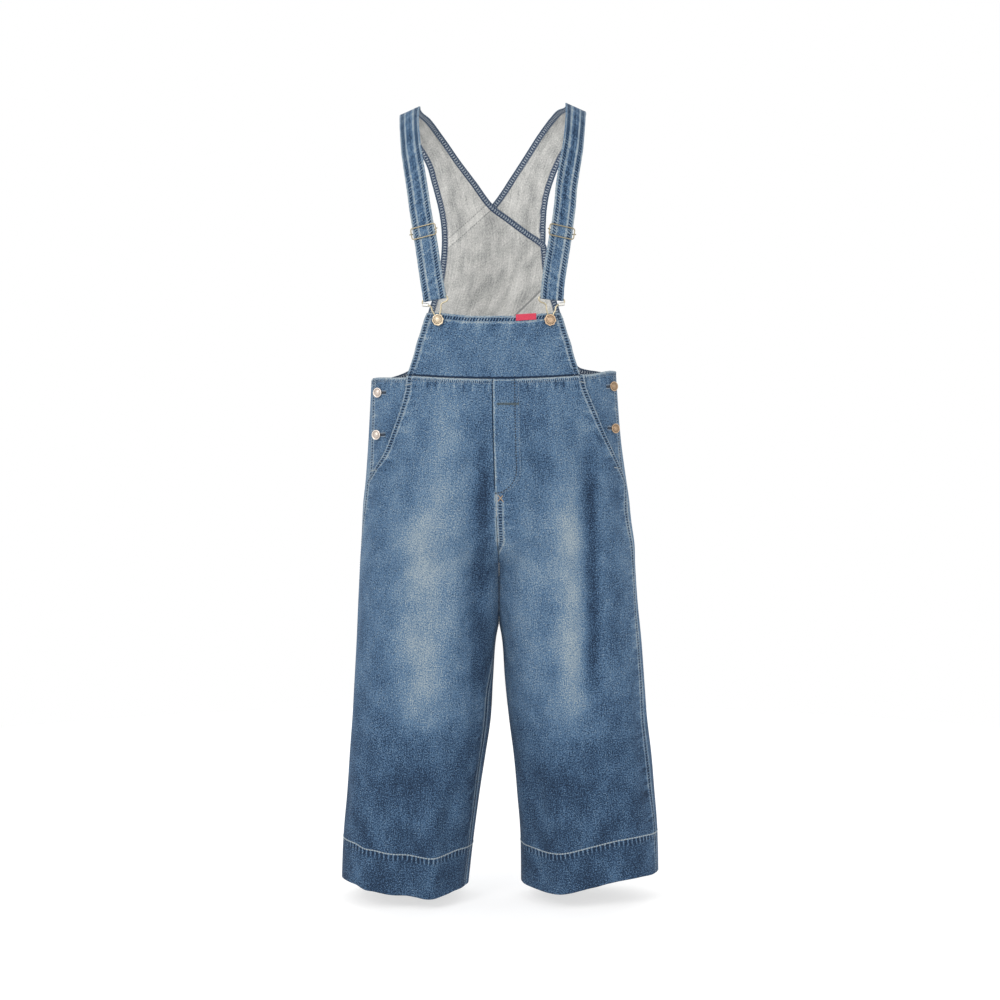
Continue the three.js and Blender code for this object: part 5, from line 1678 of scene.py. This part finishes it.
def stitches_at(spots, along, normal, long, wide, high):
    """Points and faces of stitches at places, each with its own directions."""
    form, faces = stitch_form()
    along, normal = unit(along), unit(normal)
    beside = unit(np.cross(normal, along))
    normal = np.cross(along, beside)
    offset = (
        form[None, :, 0, None] * along[:, None] * long
        + form[None, :, 1, None] * beside[:, None] * wide
        + form[None, :, 2, None] * normal[:, None] * high
    )
    points = spots[:, None] + offset + normal[:, None] * high * 0.25
    shift = np.arange(len(spots))[:, None, None] * len(form)
    return points.reshape(-1, 3), (faces[None] + shift).reshape(-1, 3)


def spaced(line, pitch):
    """Places at even steps along a line of points and normals, with their directions."""
    points, normals = line
    run = np.concatenate([[0], np.cumsum(np.linalg.norm(np.diff(points, axis=0), axis=1))])
    at = np.arange(pitch / 2, run[-1], pitch)
    get = lambda values, where: np.stack([np.interp(where, run, values[:, k]) for k in range(3)], -1)
    return get(points, at), get(points, at + 0.5) - get(points, at - 0.5), get(normals, at)


def inset_line(grid, edge, inset, top=999, bottom=-9999):
    """The line that runs inside an edge of a grid, between two heights."""
    points, normals = grid["points"], grid["normals"]
    if edge in ("top", "bottom"):
        points, normals = points.transpose(1, 0, 2), normals.transpose(1, 0, 2)
    if edge in ("last", "bottom"):
        points, normals = points[:, ::-1], normals[:, ::-1]
    run = lengths(points, 1)
    at = np.array([np.interp(inset, row, np.arange(len(row))) for row in run])
    low = np.minimum(at.astype(int), points.shape[1] - 2)
    t, rows = (at - low)[:, None], np.arange(len(at))
    pick = lambda values: mix(values[rows, low], values[rows, low + 1], t)
    line, line_normals = pick(points), pick(normals)
    kept = (line[:, 2] <= top) & (line[:, 2] >= bottom)
    return line[kept], line_normals[kept]


def flipped(grid, thick):
    """The grid of a sheet's inner face."""
    return {"points": grid["points"] - grid["normals"] * thick, "normals": -grid["normals"]}


def sew(name, lines, material, node, **sizes):
    """A piece of joined stitches along lines on a cloth node."""
    size = {**STITCH, **sizes}
    points, faces, count = [], [], 0
    for line in lines:
        if len(line[0]) < 2:
            continue
        spots, along, normal = spaced(line, size["pitch"])
        if not len(spots):
            continue
        made, made_faces = stitches_at(spots, along, normal, size["long"], size["wide"], size["high"])
        points.append(made)
        faces.append(made_faces + count)
        count += len(made)
    return join_stitches(name, points, faces, material, node)


def join_stitches(name, points, faces, material, node):
    piece = smooth_mesh(name, np.concatenate(points), np.concatenate(faces).tolist(), [material])
    STITCHES.setdefault(node, []).append(piece)
    return piece


def spot(grid, x, z):
    """The place on a front-facing grid at x and z, with its normal."""
    p = grid["points"]
    k = np.argmin((p[..., 0] - x) ** 2 + (p[..., 2] - z) ** 2)
    nearest, normal = p.reshape(-1, 3)[k], grid["normals"].reshape(-1, 3)[k]
    return np.array([x, nearest[1], z]), normal


BARTACK_PITCH = 0.75
LOOSE_PITCH = 1.3
BARTACK_THICK = 0.85
BARTACK_LEAN = 0.2


def bartack(grid, start, end, wide, pitch):
    """Close zigzag stitches along a short straight line from one x and z to another."""
    start, end = np.array(start, float), np.array(end, float)
    count = max(4, int(np.linalg.norm(end - start) / pitch))
    places_on = [spot(grid, *mix(start, end, t)) for t in np.linspace(0, 1, count)]
    spots = np.array([p for p, _ in places_on])
    normals = np.array([n for _, n in places_on])
    run = unit(np.array([end[0] - start[0], 0, end[1] - start[1]]))
    across = np.cross(normals, run) + run * BARTACK_LEAN
    return stitches_at(spots, across, normals, wide, BARTACK_THICK, 0.9)


def tack(name, grid, rows, material, node, pitch=BARTACK_PITCH):
    """Bartacks joined in one piece; rows are start, end and width."""
    points, faces, count = [], [], 0
    for start, end, wide in rows:
        made, made_faces = bartack(grid, start, end, wide, pitch)
        points.append(made)
        faces.append(made_faces + count)
        count += len(made)
    return join_stitches(name, points, faces, material, node)


STITCHES = {}
ROWS = (2.2, 9.6)  # distances of an edge's two rows of stitches from it
HOLE = {"start": 2, "end": 20, "pitch": 0.8, "long": 1.8, "off": 2.9, "slit": 4.2}


def buttonhole_lines(side, z, inset):
    """The stitches of a keyhole buttonhole that points away from its side button, and a dark lens of painted shade
    in its slit.
    """
    arcs = inset + np.arange(HOLE["start"], HOLE["end"], HOLE["pitch"])
    path = outline(side, "front", z)
    points, normals = leg_row(side, "front", path, z, arcs, FACING_SUNK)
    grid = {"points": points[None], "normals": normals[None], "face": "front"}
    add_relief(grid)
    points, up = grid["points"][0], np.array([[0.0, 0, 1]])
    spots = np.concatenate([points + up * HOLE["off"], points - up * HOLE["off"]])
    directions = np.repeat(up, len(spots), 0)
    slit = points[len(points) // 2][None]
    along = np.gradient(points, axis=0)[len(points) // 2][None]
    ring = stitches_at(spots, directions, np.tile(normals, (2, 1)), HOLE["long"], 0.8, 0.9)
    long = HOLE["end"] - HOLE["start"]
    # a dark lens over the slit: painted shade where it opens
    line = stitches_at(slit, along, normals[:1], long, HOLE["slit"], 0.7)
    return ring, line


def build_seams():
    for name, side in SIDES.items():
        front, back = GRIDS["front_leg_" + name], GRIDS["back_leg_" + name]
        lines = [inset_line(front, "first", inset) for inset in ROWS]
        lines.append(inset_line(front, "top", PIPING["width"] + 1))
        _, top, bottom = LEG_SEAMS["front", name]["last"][0]
        lines += [inset_line(front, "last", inset, top, bottom) for inset in ROWS]
        sew("stitches_front_leg_" + name, lines, THREAD, "front_leg_" + name)
        _, top, bottom = LEG_SEAMS["back", name]["last"][0]
        lines = [inset_line(back, "top", inset) for inset in ROWS]
        lines += [inset_line(back, "last", inset, top, bottom) for inset in ROWS]
        sew("stitches_back_leg_" + name, lines, THREAD, "back_leg_" + name)
        for node, grid in (("front_leg_" + name, front), ("back_leg_" + name, back)):
            row = int(np.argmin(np.abs(grid["hem"][:, 0])))
            line = (grid["points"][row], grid["normals"][row])
            sew("hem_stitches_" + node, [line], PALE_THREAD, node, long=4.4, wide=2.0, high=1.0)
        facing = GRIDS["pocket_facing_" + name]
        lines = [inset_line(facing, "first", inset) for inset in ROWS]
        lines.append(inset_line(facing, "top", PIPING["width"] + 1))
        sew("stitches_pocket_facing_" + name, lines, THREAD, "pocket_facing_" + name)
        strap = GRIDS["strap_" + name]
        lines = [inset_line(strap, edge, inset) for edge in ("first", "last") for inset in ROWS]
        sew("stitches_strap_" + name, lines, THREAD, "strap_" + name)
        build_buttonholes(name, side)


def build_buttonholes(name, side):
    node = "pocket_facing_" + name
    parts = [buttonhole_lines(side, z, inset) for z, inset in side["buttons"].values()]
    for part, (kind, material) in enumerate((("rings", THREAD), ("slit_shades", DARK_THREAD_AND_SHADE))):
        points = [made[part][0] for made in parts]
        starts = np.cumsum([0] + [len(made) for made in points])
        faces = [made[part][1] + start for made, start in zip(parts, starts)]
        join_stitches(f"buttonhole_{kind}_{name}", points, faces, material, node)


FLY_ROWS = (2.2, 8.6)


def build_upper_seams():
    bib = GRIDS["bib_front"]
    lines = [inset_line(bib, edge, inset) for edge in ("bottom", "first", "last") for inset in ROWS]
    sew("stitches_bib", lines, THREAD, "bib_front")
    for node in ("back_bib", "back_wing"):
        grid = GRIDS[node]
        both = [grid, flipped(grid, CLOTH)]
        lines = [inset_line(g, edge, inset) for g in both for edge in ("first", "last") for inset in ROWS]
        lines += [inset_line(grid, edge, inset) for edge in ("top", "bottom") for inset in ROWS]
        sew("stitches_" + node, lines, THREAD, node)
    fly, legs = GRIDS["fly_lap"], GRIDS["front_leg_left"]
    outer, inner = [inset_line(fly, "first", inset) for inset in FLY_ROWS]
    sew("stitches_fly", [inner], DARK_THREAD_AND_SHADE, "fly_lap", long=3.4, wide=2.0, high=0.8)
    sew("stitches_fly_edge", [outer], THREAD, "fly_lap", long=2.8, wide=1.2)
    tack("bartack_fly", fly, [((-3, -510), (32, -510), 4.6)], OLIVE_THREAD, "fly_lap", LOOSE_PITCH)
    cross = [((-1.5, -658), (7, -669), 1.8), ((-1.5, -668), (6, -659), 1.8)]
    tack("bartack_fly_foot", legs, cross, RUST_THREAD, "front_leg_left")
    for name, side in SIDES.items():
        build_pocket_tacks(name, side)


POCKET_TACK = {"right": ((-478, 10), (-618, 9)), "left": ((-474, 10), (-614, 9))}


def build_pocket_tacks(name, side):
    """Bartacks across both ends of the pocket edge."""
    grid, rows = GRIDS["front_leg_" + name], []
    for z, long in POCKET_TACK[name]:
        dist = float(column(POCKET[name], "z", "dist", z))
        x = MID_TOP + side["sign"] * dist
        rows.append(((x, z), (x - side["sign"] * long, z + 2), 2.2))
    tack("bartacks_pocket_" + name, grid, rows, PALE_THREAD, "front_leg_" + name)


PLATE = {"across": (12.0, 21.5), "up": (26.8, 29.2), "radius": 2.9}


def clip_plate(side, material):
    """The small sleeve that joins the clip's wire at its outer shoulder."""
    frame = clip_frame(side)
    t = np.linspace(0, 1, 8)
    across, up = mix(*PLATE["across"], t), mix(*PLATE["up"], t)
    points = in_frame(frame, across, up, STRAP_OFF["mid"])
    return tube("clip_plate_" + side["name"], points, frame["out"], False, PLATE["radius"], material)


BUTTON_METALS = {"right": (PALE_BRASS, SILVER), "left": (ANTIQUE_BRASS, COPPER)}


def build_hardware():
    for name, side in SIDES.items():
        bib_metal, side_metal = BUTTON_METALS[name]
        for piece in (clip(side, WIRE_METAL), clip_plate(side, PLATE_METAL)):
            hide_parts("clip_" + name)
        for piece in slider(side, DARK_WIRE):
            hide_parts("slider_" + name)
        seat = clip_frame(side)
        button = turned_piece("button_bib_" + name, BIB_BUTTON_PROFILE, seat, bib_metal, 96, BIB_BUTTON["lobes"])
        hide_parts("bib_button_" + name)
        for place, (z, inset) in side["buttons"].items():
            seat = side_button_frame(side, z, inset)
            button = turned_piece(f"button_side_{name}_{place}", SIDE_BUTTON_PROFILE, seat, side_metal)
            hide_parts(f"side_button_{name}_{place}")


FLOOR = {"z": -1.338, "radius": 2.4, "sides": 96}


def build_stage():
    """A plain pale floor just under the hems."""
    angle = np.linspace(0, 2 * math.pi, FLOOR["sides"], endpoint=False)
    verts = [(FLOOR["radius"] * math.cos(a), FLOOR["radius"] * math.sin(a), FLOOR["z"]) for a in angle]
    mesh = bpy.data.meshes.new("studio_floor")
    mesh.from_pydata(verts, [], [tuple(range(len(verts)))])
    s = Shade("studio_paint", Roughness=0.95, Emission_Strength=0.62, Specular_IOR_Level=0.1)
    tone = s.noise(s.add("TexCoord", {}, "Object"), 3.0, 2.0)
    s.put(s.shader.inputs["Base Color"], s.ramp(tone, [(0.0, (0.42, 0.42, 0.42)), (1.0, (0.45, 0.45, 0.45))]))
    s.put(s.shader.inputs["Emission Color"], (1.0, 1.0, 1.0, 1.0))
    mesh.materials.append(s.material)
    floor = bpy.data.objects.new("studio_floor", mesh)
    bpy.context.scene.collection.objects.link(floor)


# Soft lights: place in metres, size and power; all look at the garment's middle
LIGHTS = [
    {"name": "key", "at": (-1.7, -2.3, 0.9), "size": 1.6, "power": 34},
    {"name": "fill", "at": (2.0, -2.4, -0.1), "size": 2.2, "power": 9},
    {"name": "back_left", "at": (1.8, 2.2, 0.8), "size": 2.0, "power": 16},
    {"name": "back_right", "at": (-1.8, 2.2, 0.8), "size": 2.0, "power": 16},
]
MIDDLE = Vector((0, 0, -0.66))
WORLD = 1.0


def aim(thing, target):
    thing.rotation_euler = (target - thing.location).to_track_quat("-Z", "Y").to_euler()


def build_lights():
    for row in LIGHTS:
        light = bpy.data.lights.new(row["name"], "AREA")
        light.shape = "DISK"
        light.size, light.energy = row["size"], row["power"]
        lamp = bpy.data.objects.new(row["name"], light)
        lamp.location = row["at"]
        aim(lamp, MIDDLE)
        bpy.context.scene.collection.objects.link(lamp)
    world = bpy.data.worlds.new("studio")
    world.use_nodes = True
    world.node_tree.nodes["Background"].inputs["Color"].default_value = (1, 1, 1, 1)
    world.node_tree.nodes["Background"].inputs["Strength"].default_value = WORLD
    bpy.context.scene.world = world


CAMERA = {"at": (0.0017, -2.6, -0.666), "lens": 55.06, "sensor": 36}


def build_camera():
    data = bpy.data.cameras.new("camera")
    data.lens, data.sensor_width = CAMERA["lens"], CAMERA["sensor"]
    camera = bpy.data.objects.new("camera", data)
    camera.location = CAMERA["at"]
    camera.rotation_euler = (math.pi / 2, 0, 0)
    bpy.context.scene.collection.objects.link(camera)
    bpy.context.scene.camera = camera


bpy.context.scene.view_settings.view_transform = "Standard"
build_camera()
build_legs()
build_upper()
build_seams()
build_upper_seams()
build_tab()
build_hardware()
build_stage()
build_lights()
bpy.context.view_layer.update()
